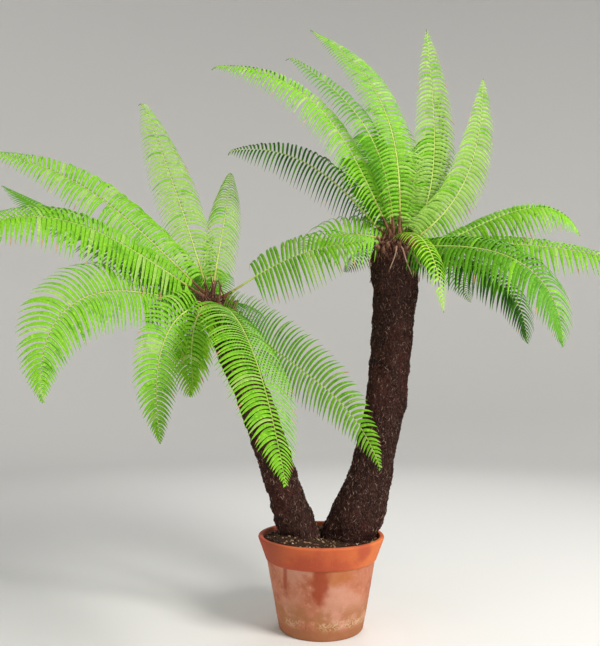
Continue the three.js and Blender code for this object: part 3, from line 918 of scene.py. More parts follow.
def stalk_tree() -> GeometryTree:
    """The tree that gives drawn lines a round section, with a finish for each stretch of their length.

    Returns:
        The tree.
    """
    tree = GeometryTree(
        "Stalks", Int=("Sides",), Material=("Foot", "Lower", "Upper", "Tip"),
        Float=("Lower From", "Upper From", "Tip From"),
    )
    share = tree.add("GeometryNodeSplineParameter").outputs["Factor"]
    lines = tree.store(tree.given["Geometry"], "share", share)
    circle = tree.add("GeometryNodeCurvePrimitiveCircle", {"Resolution": tree.given["Sides"], "Radius": 1.0})
    radius = tree.add("GeometryNodeInputRadius").outputs["Radius"]
    inputs = {"Curve": lines, "Profile Curve": circle.outputs["Curve"], "Scale": radius, "Fill Caps": True}
    sweep = tree.add("GeometryNodeCurveToMesh", inputs).outputs["Mesh"]
    stalks = tree.add("GeometryNodeRealizeInstances", {"Geometry": sweep}).outputs["Geometry"]
    stalks = tree.paint(stalks, "Foot")
    for label in ("Lower", "Upper", "Tip"):
        stalks = tree.paint(stalks, label, tree.above(tree.number("share"), tree.given[label + " From"]))
    tree.finish(stalks)
    return tree


def scatter_tree() -> GeometryTree:
    """The tree that strews a small shape over a surface, in three finishes.

    The shape lies along its Y axis. Its Z axis follows the surface's normal, and Y the upright.

    Returns:
        The tree.
    """
    tree = GeometryTree(
        "Strewn pieces", Object=("Piece",), Material=("Common", "Second", "Third"),
        Float=("Density", "Smallest", "Largest", "Swing", "Tilt", "Seed", "Second From", "Third From"),
    )
    given = tree.given
    density = tree.times(given["Density"], tree.number("cover"))
    inputs = {"Mesh": given["Geometry"], "Density": density, "Seed": given["Seed"]}
    spots = tree.add("GeometryNodeDistributePointsOnFaces", inputs)
    points = tree.store(spots.outputs["Points"], "deal", tree.random(0.0, 1.0, 1))
    facing = tree.facing(spots.outputs["Normal"], axis="Z")
    facing = tree.facing(tuple(UP), {"Rotation": facing}, axis="Y", pivot_axis="Z")
    tilt, swing = tree.either_way(given["Tilt"], 3), tree.either_way(given["Swing"], 2)
    facing = tree.turned(facing, {0: tilt, 2: swing})
    size = tree.random(given["Smallest"], given["Largest"], 4)
    pieces = tree.paint(tree.placed(points, "Piece", Rotation=facing, Scale=size), "Common")
    for label in ("Second", "Third"):
        pieces = tree.paint(pieces, label, tree.above(tree.number("deal"), given[label + " From"]))
    tree.finish(pieces)
    return tree


def stub_tree() -> GeometryTree:
    """The tree that stands a cut stub on each given point, along the direction that the point holds.

    Returns:
        The tree.
    """
    most_turn, thinnest, thickest, on_cut = 1.2, 0.75, 1.2, 0.99
    tree = GeometryTree("Cut stubs", Object=("Piece",), Float=("Seed",), Material=("Side", "Cut"))
    reach = tree.way("reach")
    facing = tree.turned(tree.facing(reach, axis="Z"), {2: tree.either_way(most_turn, 1)})
    thick = tree.random(thinnest, thickest, 2)
    inputs = {0: thick, 1: thick, 2: tree.vector("LENGTH", reach)}
    size = tree.add("ShaderNodeCombineXYZ", inputs).outputs[0]
    pieces = tree.placed(tree.given["Geometry"], "Piece", Rotation=facing, Scale=size)
    tree.finish(tree.paint(tree.paint(pieces, "Side"), "Cut", tree.above(tree.number("cut"), on_cut)))
    return tree


@dataclass(frozen=True)
class Strewing:
    """How small shapes are strewn: how many to a square metre, their size, turn, tilt and finishes.

    starts gives the share of the shapes past which the second and the third finish begin.
    """

    slot: Slot
    density: float
    sizes: Pair
    swing: float
    tilt: float
    finishes: tuple[Finish, Finish, Finish]
    starts: Pair

    def strew(
        self, tree: GeometryTree, name: str, base: bpy.types.Object, piece: bpy.types.Object, seed: float,
    ) -> None:
        """Strews one piece's shapes.

        Args:
            tree: The tree that strews small shapes.
            name: The new piece's name.
            base: The surface, which is removed.
            piece: The shape.
            seed: What sets the random places.
        """
        (smallest, largest), (second_from, third_from) = self.sizes, self.starts
        common, second, third = self.finishes
        settle(tree.grow(
            name, base, Piece=piece, Density=self.density, Smallest=smallest, Largest=largest,
            Swing=self.swing, Tilt=self.tilt, Seed=seed, Common=common, Second=second, Third=third,
            Second_From=second_from, Third_From=third_from,
        ), self.slot)


CRUMBS = Strewing(
    Slot.SOIL, 15000.0, (0.002, 0.0075), math.pi, 0.6, (CRUMB_DARK, CRUMB_TAN, CRUMB_PALE), (0.84, 0.975),
)
CHIPS = Strewing(
    Slot.SOIL, 2600.0, (0.007, 0.019), math.pi, 0.5, (CRUMB_DARK, STUB_SIDE, CRUMB_TAN), (0.45, 0.80),
)
ROOTLETS = Strewing(
    Slot.TRUNK, 36000.0, (0.005, 0.017), 1.0, 0.30, (FIBRE_DARK, FIBRE_RUST, FIBRE_FLECK), (0.60, 0.90),
)
SCALES = Strewing(
    Slot.TRUNK, 52000.0, (0.010, 0.026), 0.7, 0.75, (FIBRE_RUST, STUB_SIDE, FIBRE_FLECK), (0.55, 0.93),
)


class Lines:
    """Drawn lines with a radius at each point, kept as one curve."""

    def __init__(self, name: str) -> None:
        """Makes the empty curve."""
        self.curve = bpy.data.curves.new(name, "CURVE")
        self.curve.dimensions = "3D"

    def draw(self, points: np.ndarray, radii: list[float]) -> None:
        """Adds a line.

        Args:
            points: One row for each point.
            radii: The radius at each point.
        """
        spline = self.curve.splines.new("POLY")
        spline.points.add(len(points) - 1)
        spline.points.foreach_set("co", np.column_stack([points, np.ones(len(points))]).ravel())
        spline.points.foreach_set("radius", radii)

    def grow(
        self, tree: GeometryTree, name: str, sides: int, finishes: tuple[Finish, ...], starts: Triple,
    ) -> bpy.types.Object:
        """Gives the lines their round section.

        Args:
            tree: The tree that makes stalks from lines.
            name: The piece's name.
            sides: How many sides the section has.
            finishes: The finishes from the foot to the tip.
            starts: The share of the length at which each finish after the first begins.

        Returns:
            The piece.
        """
        foot, lower, upper, tip = finishes
        lower_from, upper_from, tip_from = starts
        base = linked(bpy.data.objects.new(self.curve.name, self.curve))
        return tree.grow(
            name, base, Sides=sides, Foot=foot, Lower=lower, Upper=upper, Tip=tip,
            Lower_From=lower_from, Upper_From=upper_from, Tip_From=tip_from,
        )


# Pot and potting mix


@dataclass
class Pot:
    """The terracotta pot: a tapering body under a rim band, with a rolled lip and a crusted foot."""

    height: float = 0.265
    rim_radius: float = 0.180
    band_foot_radius: float = 0.158
    band_height: float = 0.066
    band_edge: tuple[Pair, ...] = ((-0.0005, 0.0), (0.001, 0.0025))
    body_top_radius: float = 0.155
    undercut: float = 0.002
    foot_radius: float = 0.121
    foot_rounding: float = 0.006
    wall: float = 0.014
    floor: float = 0.016
    lip_rounding: float = 0.005
    rounding_steps: int = 6
    sides: int = 176
    step: float = 0.0035
    bulges: Relief = Relief(0.0012, (0.12, 0.12, 0.12), 3.0)
    wear: Relief = Relief(0.00035, (0.012, 0.012, 0.012), 7.0)
    throwing_height: float = 0.00022
    throwing_pitch: float = 0.0075
    throwing_drift: Relief = Relief(3.0, (0.1, 0.1, 0.02), 9.0)
    crust_middle: float = 0.044
    crust_spread: float = 0.008
    crust_rise: float = 0.0005
    crust_pits: Relief = Relief(0.0009, (0.006, 0.006, 0.004), 5.0)
    even_below: float = 0.004
    uneven_over: float = 0.010
    even_within: float = 0.09
    least_reach: float = 1e-6

    @property
    def band_foot(self) -> float:
        """The height of the band's foot."""
        return self.height - self.band_height

    def inner_radius(self, height: float) -> float:
        """The radius inside the wall.

        Args:
            height: The height above the underside.

        Returns:
            The radius.
        """
        share = (height - self.band_foot) / self.band_height
        if share > 0:
            return self.band_foot_radius + (self.rim_radius - self.band_foot_radius) * share - self.wall
        share = height / self.band_foot
        return self.foot_radius + (self.band_foot_radius - self.foot_radius) * share - self.wall

    def profile(self) -> list[Pair]:
        """The outline from the middle of the underside, up the outside and down the inside.

        Returns:
            Radius and height of each point.
        """
        lip, foot = self.lip_rounding, self.foot_rounding
        quarter = quarter_turn(self.rounding_steps)
        outline = [(0.0, 0.0)]
        under = self.foot_radius - foot
        outline += [(under + foot * math.sin(a), foot - foot * math.cos(a)) for a in quarter]
        outline += [(self.body_top_radius, self.band_foot - self.undercut)]
        outline += [(self.band_foot_radius + out, self.band_foot + up) for out, up in self.band_edge]
        top, edge = self.height - lip, self.rim_radius - lip
        outline += [(edge + lip * math.cos(a), top + lip * math.sin(a)) for a in quarter]
        inside = self.rim_radius - self.wall + lip
        outline += [(inside - lip * math.sin(a), top + lip * math.cos(a)) for a in quarter]
        outline += [(self.inner_radius(z), z) for z in (self.band_foot, self.floor)]
        return [*outline, (0.0, self.floor)]

    def build(self) -> None:
        """Makes the pot, uneven as a thrown pot is, and dresses it."""
        made = closed_lathe("terracotta_pot", stepped(self.profile(), self.step), self.sides)
        points = points_of(made)
        radial = points * (1, 1, 0)
        reach = np.linalg.norm(radial, axis=1)
        outward = radial / np.maximum(reach, self.least_reach)[:, None]
        z = points[:, 2]
        turns = 2 * np.pi * z / self.throwing_pitch + self.throwing_drift.at(points)
        throwing = self.throwing_height * np.sin(turns)
        near_crust = np.exp(-(((z - self.crust_middle) / self.crust_spread) ** 2))
        crust = near_crust * (self.crust_pits.at(points) + self.crust_rise)
        keep = np.clip((z - self.even_below) / self.uneven_over, 0, 1) * (reach > self.even_within)
        relief = self.bulges.at(points) + throwing + crust + self.wear.at(points)
        points += outward * (relief * keep)[:, None]
        place_points(made, points)
        made.data.materials.append(CLAY.material())
        settle(made, Slot.POT, "pot")


@dataclass
class PottingMix:
    """The dark mix in the pot, heaped at the left front, with crumbs, chips and pale bits on it."""

    pot: Pot
    top: float = 0.252
    heap: float = 0.019
    heap_middle: Pair = (-0.100, -0.070)
    heap_spread: float = 0.085
    wall_from: float = 0.150
    wall_width: float = 0.016
    wall_sinking: float = 0.35
    lumps: Relief = Relief(0.0045, (0.035, 0.035, 1.0), 2.0)
    small_lumps: Relief = Relief(0.0022, (0.011, 0.011, 1.0), 6.0)
    clearance: float = 0.0008
    sides: int = 120
    rings: int = 42

    def surface(self, points: np.ndarray) -> np.ndarray:
        """The height of the mix.

        Args:
            points: One row for each place.

        Returns:
            The height at each place.
        """
        from_heap = np.linalg.norm(points[:, :2] - np.array(self.heap_middle), axis=1)
        heap = self.heap * np.exp(-((from_heap / self.heap_spread) ** 2))
        radius = np.linalg.norm(points[:, :2], axis=1)
        near_wall = np.clip((radius - self.wall_from) / self.wall_width, 0, 1)
        flat = points * (1, 1, 0)
        lumps = self.lumps.at(flat) + self.small_lumps.at(flat)
        return self.top + heap * (1 - self.wall_sinking * near_wall) + lumps

    def build(self, scatter: GeometryTree) -> None:
        """Makes the mix and what lies on it.

        Args:
            scatter: The tree that strews small shapes.
        """
        floor = self.pot.floor + self.clearance
        profile = [(0.0, floor)]
        for height in (floor, self.pot.band_foot, self.top):
            profile.append((self.pot.inner_radius(height) - self.clearance, height))
        edge = profile[-1][0]
        profile += [(edge * (1 - k / self.rings), self.top) for k in range(1, self.rings)]
        made = closed_lathe("potting_mix_bed", [*profile, (0.0, self.top)], self.sides)
        points = points_of(made)
        upper = points[:, 2] > self.top - self.clearance
        points[upper, 2] = self.surface(points[upper])
        place_points(made, points)
        made.data.materials.append(SOIL.material())
        bases = [covered(made, upper.astype(float)) for _ in range(2)]
        settle(made, Slot.SOIL, "soil")
        crumb = lump("crumb", radius=0.5, roughness=0.18, level=1)
        chip = lump("chip", radius=0.5, roughness=0.10, level=2, squeeze=(0.55, 1.0, 0.22))
        CRUMBS.strew(scatter, "potting_mix_crumbs", bases[0], crumb, seed=11.0)
        CHIPS.strew(scatter, "potting_mix_chips", bases[1], chip, seed=17.0)
        drop(crumb, chip)


def lump(
    name: str, radius: float, roughness: float, level: int, squeeze: Triple = (1, 1, 1),
) -> bpy.types.Object:
    """A rough stone-like shape about the origin.

    Args:
        name: The object's name.
        radius: Its mean radius.
        roughness: How uneven it is, as a share of the radius.
        level: 1 for twenty faces, 2 for eighty.
        squeeze: A factor for each axis.

    Returns:
        The object.
    """
    golden, dents = (1 + math.sqrt(5)) / 2, (0.6, 0.6, 0.6)
    corners = [(-1, golden, 0), (1, golden, 0), (-1, -golden, 0), (1, -golden, 0)]
    corners += [(0, -1, golden), (0, 1, golden), (0, -1, -golden), (0, 1, -golden)]
    corners += [(golden, 0, -1), (golden, 0, 1), (-golden, 0, -1), (-golden, 0, 1)]
    faces = [(0, 11, 5), (0, 5, 1), (0, 1, 7), (0, 7, 10), (0, 10, 11), (1, 5, 9), (5, 11, 4), (11, 10, 2)]
    faces += [(10, 7, 6), (7, 1, 8), (3, 9, 4), (3, 4, 2), (3, 2, 6), (3, 6, 8), (3, 8, 9), (4, 9, 5)]
    faces += [(2, 4, 11), (6, 2, 10), (8, 6, 7), (9, 8, 1)]
    points = [Vector(c).normalized() for c in corners]
    for _ in range(level - 1):
        halves, finer = {}, []
        for face in faces:
            middles = []
            for a, b in zip(face, face[1:] + face[:1]):
                key = (min(a, b), max(a, b))
                if key not in halves:
                    halves[key] = len(points)
                    points.append(((points[a] + points[b]) / 2).normalized())
                middles.append(halves[key])
            (a, b, c), (ab, bc, ca) = face, middles
            finer += [(a, ab, ca), (b, bc, ab), (c, ca, bc), (ab, bc, ca)]
        faces = finer
    places = np.array([p[:] for p in points])
    uneven = 1 + Relief(roughness, dents, radius + level).at(places)
    return mesh_object(name, places * uneven[:, None] * radius * np.array(squeeze), faces, level > 1)


# Trunks


@dataclass
class Trunk:
    """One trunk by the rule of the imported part's source: a leaning stem with a rounded head."""

    name: str
    foot: Pair
    head: Pair
    top: float
    straighten: float
    bow: float
    radius: float
    flare: float
    flare_spread: float
    swelling: float
    dome_height: float
    seed: float
    low: float = 0.2573
    sunk: float = 0.012
    flare_rise: float = 0.0
    swelling_spread: float = 0.090
    swelling_below: float = 1.6
    sides: int = 116
    ring_step: float = 0.0042
    dome_rings: int = 16
    lumps: tuple[tuple[float, int, float], ...] = ((0.035, 3, 0.045), (0.02, 5, -0.027))
    knots: Relief = Relief(0.0042, (0.030, 0.030, 0.038))
    strands: Relief = Relief(0.0030, (0.0095, 0.0095, 0.024), 20)
    tufts: Relief = Relief(0.0018, (0.0042, 0.0042, 0.0075), 40)
    cover_edge: float = 0.004
    scales_below: float = 1.25
    scales_edge: float = 0.03
    stub_count: int = 26
    stub_lengths: tuple[float, ...] = (0.026, 0.033, 0.029, 0.036, 0.031)
    stub_below: tuple[float, ...] = (0.062, 0.044, 0.053, 0.035, 0.026)
    stub_rises: tuple[float, ...] = (50, 68, 62, 56)
    stub_root: float = 0.012
    head_margin: float = 0.001

    def ring(self, height: float) -> tuple[np.ndarray, float]:
        """The trunk's round section.

        Args:
            height: The height above the pot's underside.

        Returns:
            The section's middle and radius.
        """
        share = (height - self.low) / (self.top - self.low)
        along = 1 - (1 - share) ** self.straighten if share > 0 else share * self.straighten
        to_top = self.top - height
        from_flare = (max(self.low, height) - self.low - self.flare_rise) / self.flare_spread
        flare = self.flare * math.exp(-(from_flare**2))
        from_swelling = (to_top - self.dome_height * self.swelling_below) / self.swelling_spread
        swelling = self.swelling * math.exp(-(from_swelling**2))
        dome = math.sqrt(max(0.0, 1 - (1 - min(1.0, to_top / self.dome_height)) ** 2))
        x = self.foot[0] + (self.head[0] - self.foot[0]) * along + self.bow * math.sin(math.pi * share)
        y = self.foot[1] + (self.head[1] - self.foot[1]) * along
        return np.array([x, y, height]), (self.radius + flare + swelling) * dome

    def heights(self) -> list[float]:
        """The rings' heights, even up the stem and closer over the head.

        Returns:
            The heights from the foot up.
        """
        shoulder = self.top - self.dome_height
        rise = shoulder - self.low + self.sunk
        count = round(rise / self.ring_step)
        stem = [self.low - self.sunk + rise * k / count for k in range(count + 1)]
        quarter = [math.pi / 2 * k / self.dome_rings for k in range(1, self.dome_rings)]
        return stem + [shoulder + self.dome_height * math.sin(a) for a in quarter]

    def depth(self, point: np.ndarray) -> float:
        """How far a point lies outside the trunk.

        Args:
            point: The point.

        Returns:
            The distance, measured level. It is negative inside.
        """
        if point[2] >= self.top:
            return float(point[2] - self.top) + self.head_margin
        middle, radius = self.ring(max(float(point[2]), self.low))
        return float(np.linalg.norm(point[:2] - middle[:2])) - radius

    def build(self, scatter: GeometryTree, stubs: GeometryTree) -> None:
        """Makes the bark, the rootlets and scales on it and the cut stubs of old stalks.

        Args:
            scatter: The tree that strews small shapes.
            stubs: The tree that stands stubs.
        """
        angles = 2 * np.pi * np.arange(self.sides) / self.sides
        round_way = np.column_stack([np.cos(angles), np.sin(angles), np.zeros(self.sides)])
        heights = self.heights()
        rings = []
        for height in heights:
            middle, radius = self.ring(height)
            waves = (share * np.sin(lobes * angles + height / rise) for share, lobes, rise in self.lumps)
            rings.append(middle + round_way * (radius * (1 + sum(waves)))[:, None])
        points = np.vstack(rings)
        matting = sum(relief.at(points, self.seed) for relief in (self.knots, self.strands, self.tufts))
        points += np.vstack([round_way] * len(heights)) * matting[:, None]
        points = np.vstack([points, self.ring(heights[0])[0], self.ring(self.top)[0]])
        bark = mesh_object(f"{self.name}_trunk_bark", points, capped_faces(len(heights), self.sides))
        bark.data.materials.append(BARK.material())
        above_mix = points[:, 2] - self.low + self.cover_edge
        above_scales = points[:, 2] - (self.top - self.scales_below * self.dome_height)
        rooted = covered(bark, np.clip(above_mix / self.cover_edge, 0, 1))
        scaled = covered(bark, np.clip(above_scales / self.scales_edge, 0, 1))
        settle(bark, Slot.TRUNK, f"{self.name}_trunk")
        strand = fibre("strand", length=1.0, radius=0.060, bow=0.12)
        ROOTLETS.strew(scatter, f"{self.name}_trunk_rootlets", rooted, strand, self.seed)
        SCALES.strew(scatter, f"{self.name}_crown_scales", scaled, strand, self.seed + 5)
        drop(strand)
        self.build_stubs(stubs)

    def build_stubs(self, stubs: GeometryTree) -> None:
        """Stands the stubs round the head where the source has them.

        Args:
            stubs: The tree that stands stubs.
        """
        roots, reaches = [], []
        for index in range(self.stub_count):
            below, rise, length = (
                row[index % len(row)] for row in (self.stub_below, self.stub_rises, self.stub_lengths)
            )
            middle, radius = self.ring(self.top - below)
            heading, rise = math.radians(index * GOLDEN_ANGLE), math.radians(rise)
            outward = np.array([math.cos(heading), math.sin(heading), 0.0])
            roots.append(middle + outward * (radius - self.stub_root))
            reaches.append((outward * math.cos(rise) + UP * math.sin(rise)) * length)
        base = mesh_object(f"{self.name}_stub_places", np.array(roots), [])
        give(base.data, "reach", np.array(reaches))
        piece = cut_stub()
        made = stubs.grow(
            f"{self.name}_crown_stubs", base, Piece=piece, Seed=self.seed, Side=STUB_SIDE, Cut=STUB_CUT,
        )
        settle(made, Slot.TRUNK)
        drop(piece)


def fibre(name: str, length: float, radius: float, bow: float) -> bpy.types.Object:
    """A thin three-sided strand along the Y axis that bows out along Z.

    Args:
        name: The object's name.
        length: Its length.
        radius: Its radius in the middle.
        bow: How far its middle stands out.

    Returns:
        The object.
    """
    shares, sides = (0.0, 0.45, 1.0), 3
    least, thinnest, sunk, sway = 0.05, 0.25, 0.3, 0.10
    points = []
    for share in shares:
        wave = math.sin(math.pi * share)
        swell = math.sin(math.pi * min(1 - least, max(least, share)))
        thick = radius * (thinnest + (1 - thinnest) * swell)
        for side in range(sides):
            angle = 2 * math.pi * side / sides
            aside = sway * length * wave + thick * math.cos(angle)
            points.append((aside, (share - 0.5) * length, bow * wave - sunk * bow + thick * math.sin(angle)))
    faces = [tuple(reversed(face)) for face in ring_faces(len(shares), sides)]
    end = sides * (len(shares) - 1)
    faces += [(0, 1, 2), (end + 2, end + 1, end)]
    return mesh_object(name, np.array(points), faces)


def cut_stub() -> bpy.types.Object:
    """A ridged stub along Z, one unit long, that tapers to a slanting cut.

    Returns:
        The object. Its points have a cut attribute that is 1 on the cut face.
    """
    sides, radii = 10, (0.0066, 0.0064, 0.0060, 0.0054, 0.0047)
    ridge, flat_from, flattened, slant, curve, sunk = 0.12, 0.3, 0.82, 0.10, 0.002, 0.08
    cut_share, cut_shift, cut_rise = 0.8, 0.0004, 0.004
    points = []
    for k, radius in enumerate(radii):
        share = k / (len(radii) - 1)
        for i in range(sides):
            angle = 2 * math.pi * i / sides
            ridged = radius * (1 + ridge * (i % 2)) * (1 if math.sin(angle) < flat_from else flattened)
            height = share - sunk + slant * math.cos(angle) * share
            points.append((ridged * math.cos(angle) + curve * share**2, ridged * math.sin(angle), height))
    cut = [0.0] * len(points) + [1.0] * sides
    points += [(cut_share * x + cut_shift, cut_share * y, z + cut_rise) for x, y, z in points[-sides:]]
    faces = ring_faces(len(radii) + 1, sides)
    top = len(radii) * sides
    faces += [tuple(range(top, top + sides)), tuple(reversed(range(sides)))]
    made = mesh_object("cut_stub", np.array(points), faces)
    give(made.data, "cut", np.array(cut))
    return made


# Fronds


@dataclass(frozen=True)
class Frond:
    """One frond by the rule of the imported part's source.

    heading is 0 towards +X and 90 away from the viewer, rise and fall are the slope at the base and
    at the tip, bend is later when larger, sweep turns the heading, roll twists the blade, leaf is the
    share of the longest leaflet and hang how far leaflets droop. out and lift place the stalk's start
    from the heart. bare is the share of the stalk without leaflets, slim a factor for their width,
    dry the share of leaflets with a brown tip, and hook how far the very tip curls over.
    """

    heading: float
    rise: float
    fall: float
    length: float
    bend: float = 1.0
    sweep: float = 0.0
    roll: float = 0.0
    leaf: float = 1.0
    hang: float = 0.35
    out: float = 0.025
    lift: float = 0.0
    bare: float = 0.07
    slim: float = 1.0
    tint: Tint = Tint.FRESH
    dry: float = 0.10
    hook: float = 0.0


LEFT_FRONDS = {
    "upright": Frond(
        143, 68, 65, 0.670, bend=0.85, sweep=7, roll=-40, leaf=0.8, hang=0.7, out=0.020, lift=0.025,
        slim=0.98, tint=Tint.PALE, hook=110,
    ),
    "short_upright": Frond(
        74, 73, 54, 0.490, bend=0.55, sweep=18, roll=20, leaf=0.7, hang=0.95, out=0.005, lift=0.025,
        slim=0.86, tint=Tint.PALE, hook=120,
    ),
    "reaching_high": Frond(
        182, 44, 8, 0.710, bend=1.8, sweep=12, roll=-60, leaf=0.9, hang=0.7, lift=0.020, slim=1.15,
        hook=60,
    ),
    "reaching_low": Frond(
        205, 30, -36, 0.690, bend=1.7, sweep=14, roll=-45, leaf=1.3, hang=0.65, lift=0.005,
        slim=1.4, dry=0.25,
    ),
    "reaching_behind": Frond(
        158, 29, 29, 0.865, roll=-20, out=0.030, lift=-0.006, slim=1.1, tint=Tint.MIDDLE,
    ),
    "arching": Frond(218, 6, -96, 0.655, bend=1.6, sweep=23, roll=-61, leaf=1.1, lift=-0.020, slim=1.5),
    "drooping": Frond(237, -4, -100, 0.475, bend=0.65, sweep=4, roll=-67, leaf=0.8, lift=-0.025, slim=1.6),
    # Painted light: the bright young green lifts this frond out of the shade that the fronds above cast on it.
    "drooping_middle": Frond(
        243, -30, -92, 0.270, bend=0.55, roll=-5, leaf=0.9, hang=0.7, lift=-0.034, slim=1.6,
        tint=Tint.YOUNG,
    ),
    "drooping_small": Frond(
        252, -14, -100, 0.280, bend=0.6, sweep=-3, roll=-38, leaf=0.65, hang=0.55, lift=-0.020,
        slim=1.5,
    ),
    "drooping_front": Frond(
        296, 1, -45, 0.760, bend=0.4, sweep=-13, roll=-16, leaf=1.1, lift=-0.025, slim=1.45,
    ),
    "drooping_right": Frond(
        301, -28, -68, 0.735, bend=3.4, sweep=32, roll=79, leaf=0.85, hang=0.15, lift=-0.008,
        slim=1.35,
    ),
    "thin_stalk": Frond(
        -5, 32, 3, 0.440, bend=1.3, sweep=-10, roll=50, leaf=1.45, hang=0.5, bare=0.26, slim=1.05,
        dry=0.3,
    ),
    "rear_left": Frond(122, 30, -40, 0.580, roll=-20, tint=Tint.MIDDLE),
    "rear_right": Frond(78, 14, -32, 0.420, lift=-0.020, tint=Tint.DEEP),
    "rear_low": Frond(105, 24, -25, 0.460, lift=-0.015, tint=Tint.DEEP),
    "rear_short": Frond(98, 45, 0, 0.340, leaf=0.7, out=0.030, lift=0.005, tint=Tint.MIDDLE),
}
RIGHT_FRONDS = {
    "low_left": Frond(181, 14, -28, 0.255, roll=-55, leaf=1.2, hang=0.5, slim=1.1, dry=0.3),
    "shaded_left": Frond(
        159, 50, -18, 0.580, bend=1.5, sweep=57, roll=42, leaf=0.85, hang=0.8, lift=0.012,
        slim=0.85, tint=Tint.DEEP, hook=70,
    ),
    "long_left": Frond(
        190, 64, 1, 0.745, bend=1.65, sweep=-8, roll=-45, leaf=1.15, hang=0.65, out=0.014,
        lift=0.020, slim=0.95, hook=50,
    ),
    "slim_left": Frond(
        189, 84, 35, 0.615, bend=0.9, sweep=-17, roll=-50, leaf=0.75, hang=0.5, out=0.004,
        lift=0.042, slim=0.9, tint=Tint.MIDDLE, hook=90,
    ),
    "tall_left": Frond(
        142, 92, 40, 0.830, bend=0.95, sweep=-3, roll=-36, leaf=0.65, hang=0.45, out=-0.015,
        lift=0.005,
    ),
    "curled_top": Frond(
        60, 84, -30, 0.500, bend=4.5, sweep=110, roll=-20, leaf=0.9, out=0.028, lift=0.005,
        slim=0.9, tint=Tint.PALE,
    ),
    "tallest": Frond(
        27, 31, 99, 0.675, bend=0.4, sweep=11, roll=67, leaf=0.8, hang=0.75, out=0.030, slim=1.1,
        tint=Tint.PALE,
    ),
    "slim_right": Frond(
        38, 50, 98, 0.540, leaf=0.5, out=0.044, lift=-0.012, slim=1.05, tint=Tint.PALE, dry=0.3,
        hook=60,
    ),
    "tall_right": Frond(
        9, 35, 87, 0.595, bend=0.8, sweep=12, roll=85, leaf=0.75, hang=0.8, out=0.035, lift=-0.014,
        slim=1.25, tint=Tint.PALE,
    ),
    "arching_right": Frond(
        352, 25, -65, 0.525, bend=3, sweep=5, roll=35, leaf=1.35, hang=0.9, out=0.055, lift=-0.052,
        slim=1.1, dry=0.2,
    ),
    "level_right": Frond(
        346, -3, -22, 0.640, bend=1.6, sweep=-10, roll=38, leaf=1.2, hang=0.65, lift=-0.012,
        slim=1.15, dry=0.15,
    ),
    "drooping_right": Frond(
        320, -6, -86, 0.600, bend=1.6, sweep=20, roll=38, leaf=1.35, hang=0.6, lift=-0.025,
        slim=1.3, tint=Tint.MIDDLE,
    ),
    "small_front": Frond(
        293, 14, -78, 0.375, bend=0.6, leaf=0.5, hang=0.6, out=0.010, tint=Tint.YOUNG, dry=0,
    ),
    "drooping_under": Frond(
        338, -10, -85, 0.480, bend=1.5, roll=35, leaf=1.15, hang=0.6, lift=-0.045, slim=1.25,
        tint=Tint.DEEP,
    ),
    "rear_upright": Frond(98, 72, 25, 0.650, out=0.022, lift=0.012, tint=Tint.MIDDLE),
    "rear_tall": Frond(62, 60, 45, 0.600, out=0.038, lift=-0.004, tint=Tint.MIDDLE),
    "rear_high": Frond(78, 40, -40, 0.650, out=0.032, lift=-0.018, tint=Tint.MIDDLE),
    "rear_left": Frond(104, 62, 22, 0.620, tint=Tint.MIDDLE),
    "rear_right": Frond(52, 22, -42, 0.560, out=0.030, lift=-0.035, tint=Tint.MIDDLE),
    "rear_low_left": Frond(108, 16, -24, 0.360, leaf=0.8, hang=0.9, lift=-0.005, tint=Tint.DEEP),
    "rear_low": Frond(85, 8, -38, 0.440, leaf=0.8, lift=-0.015, tint=Tint.DEEP),
}


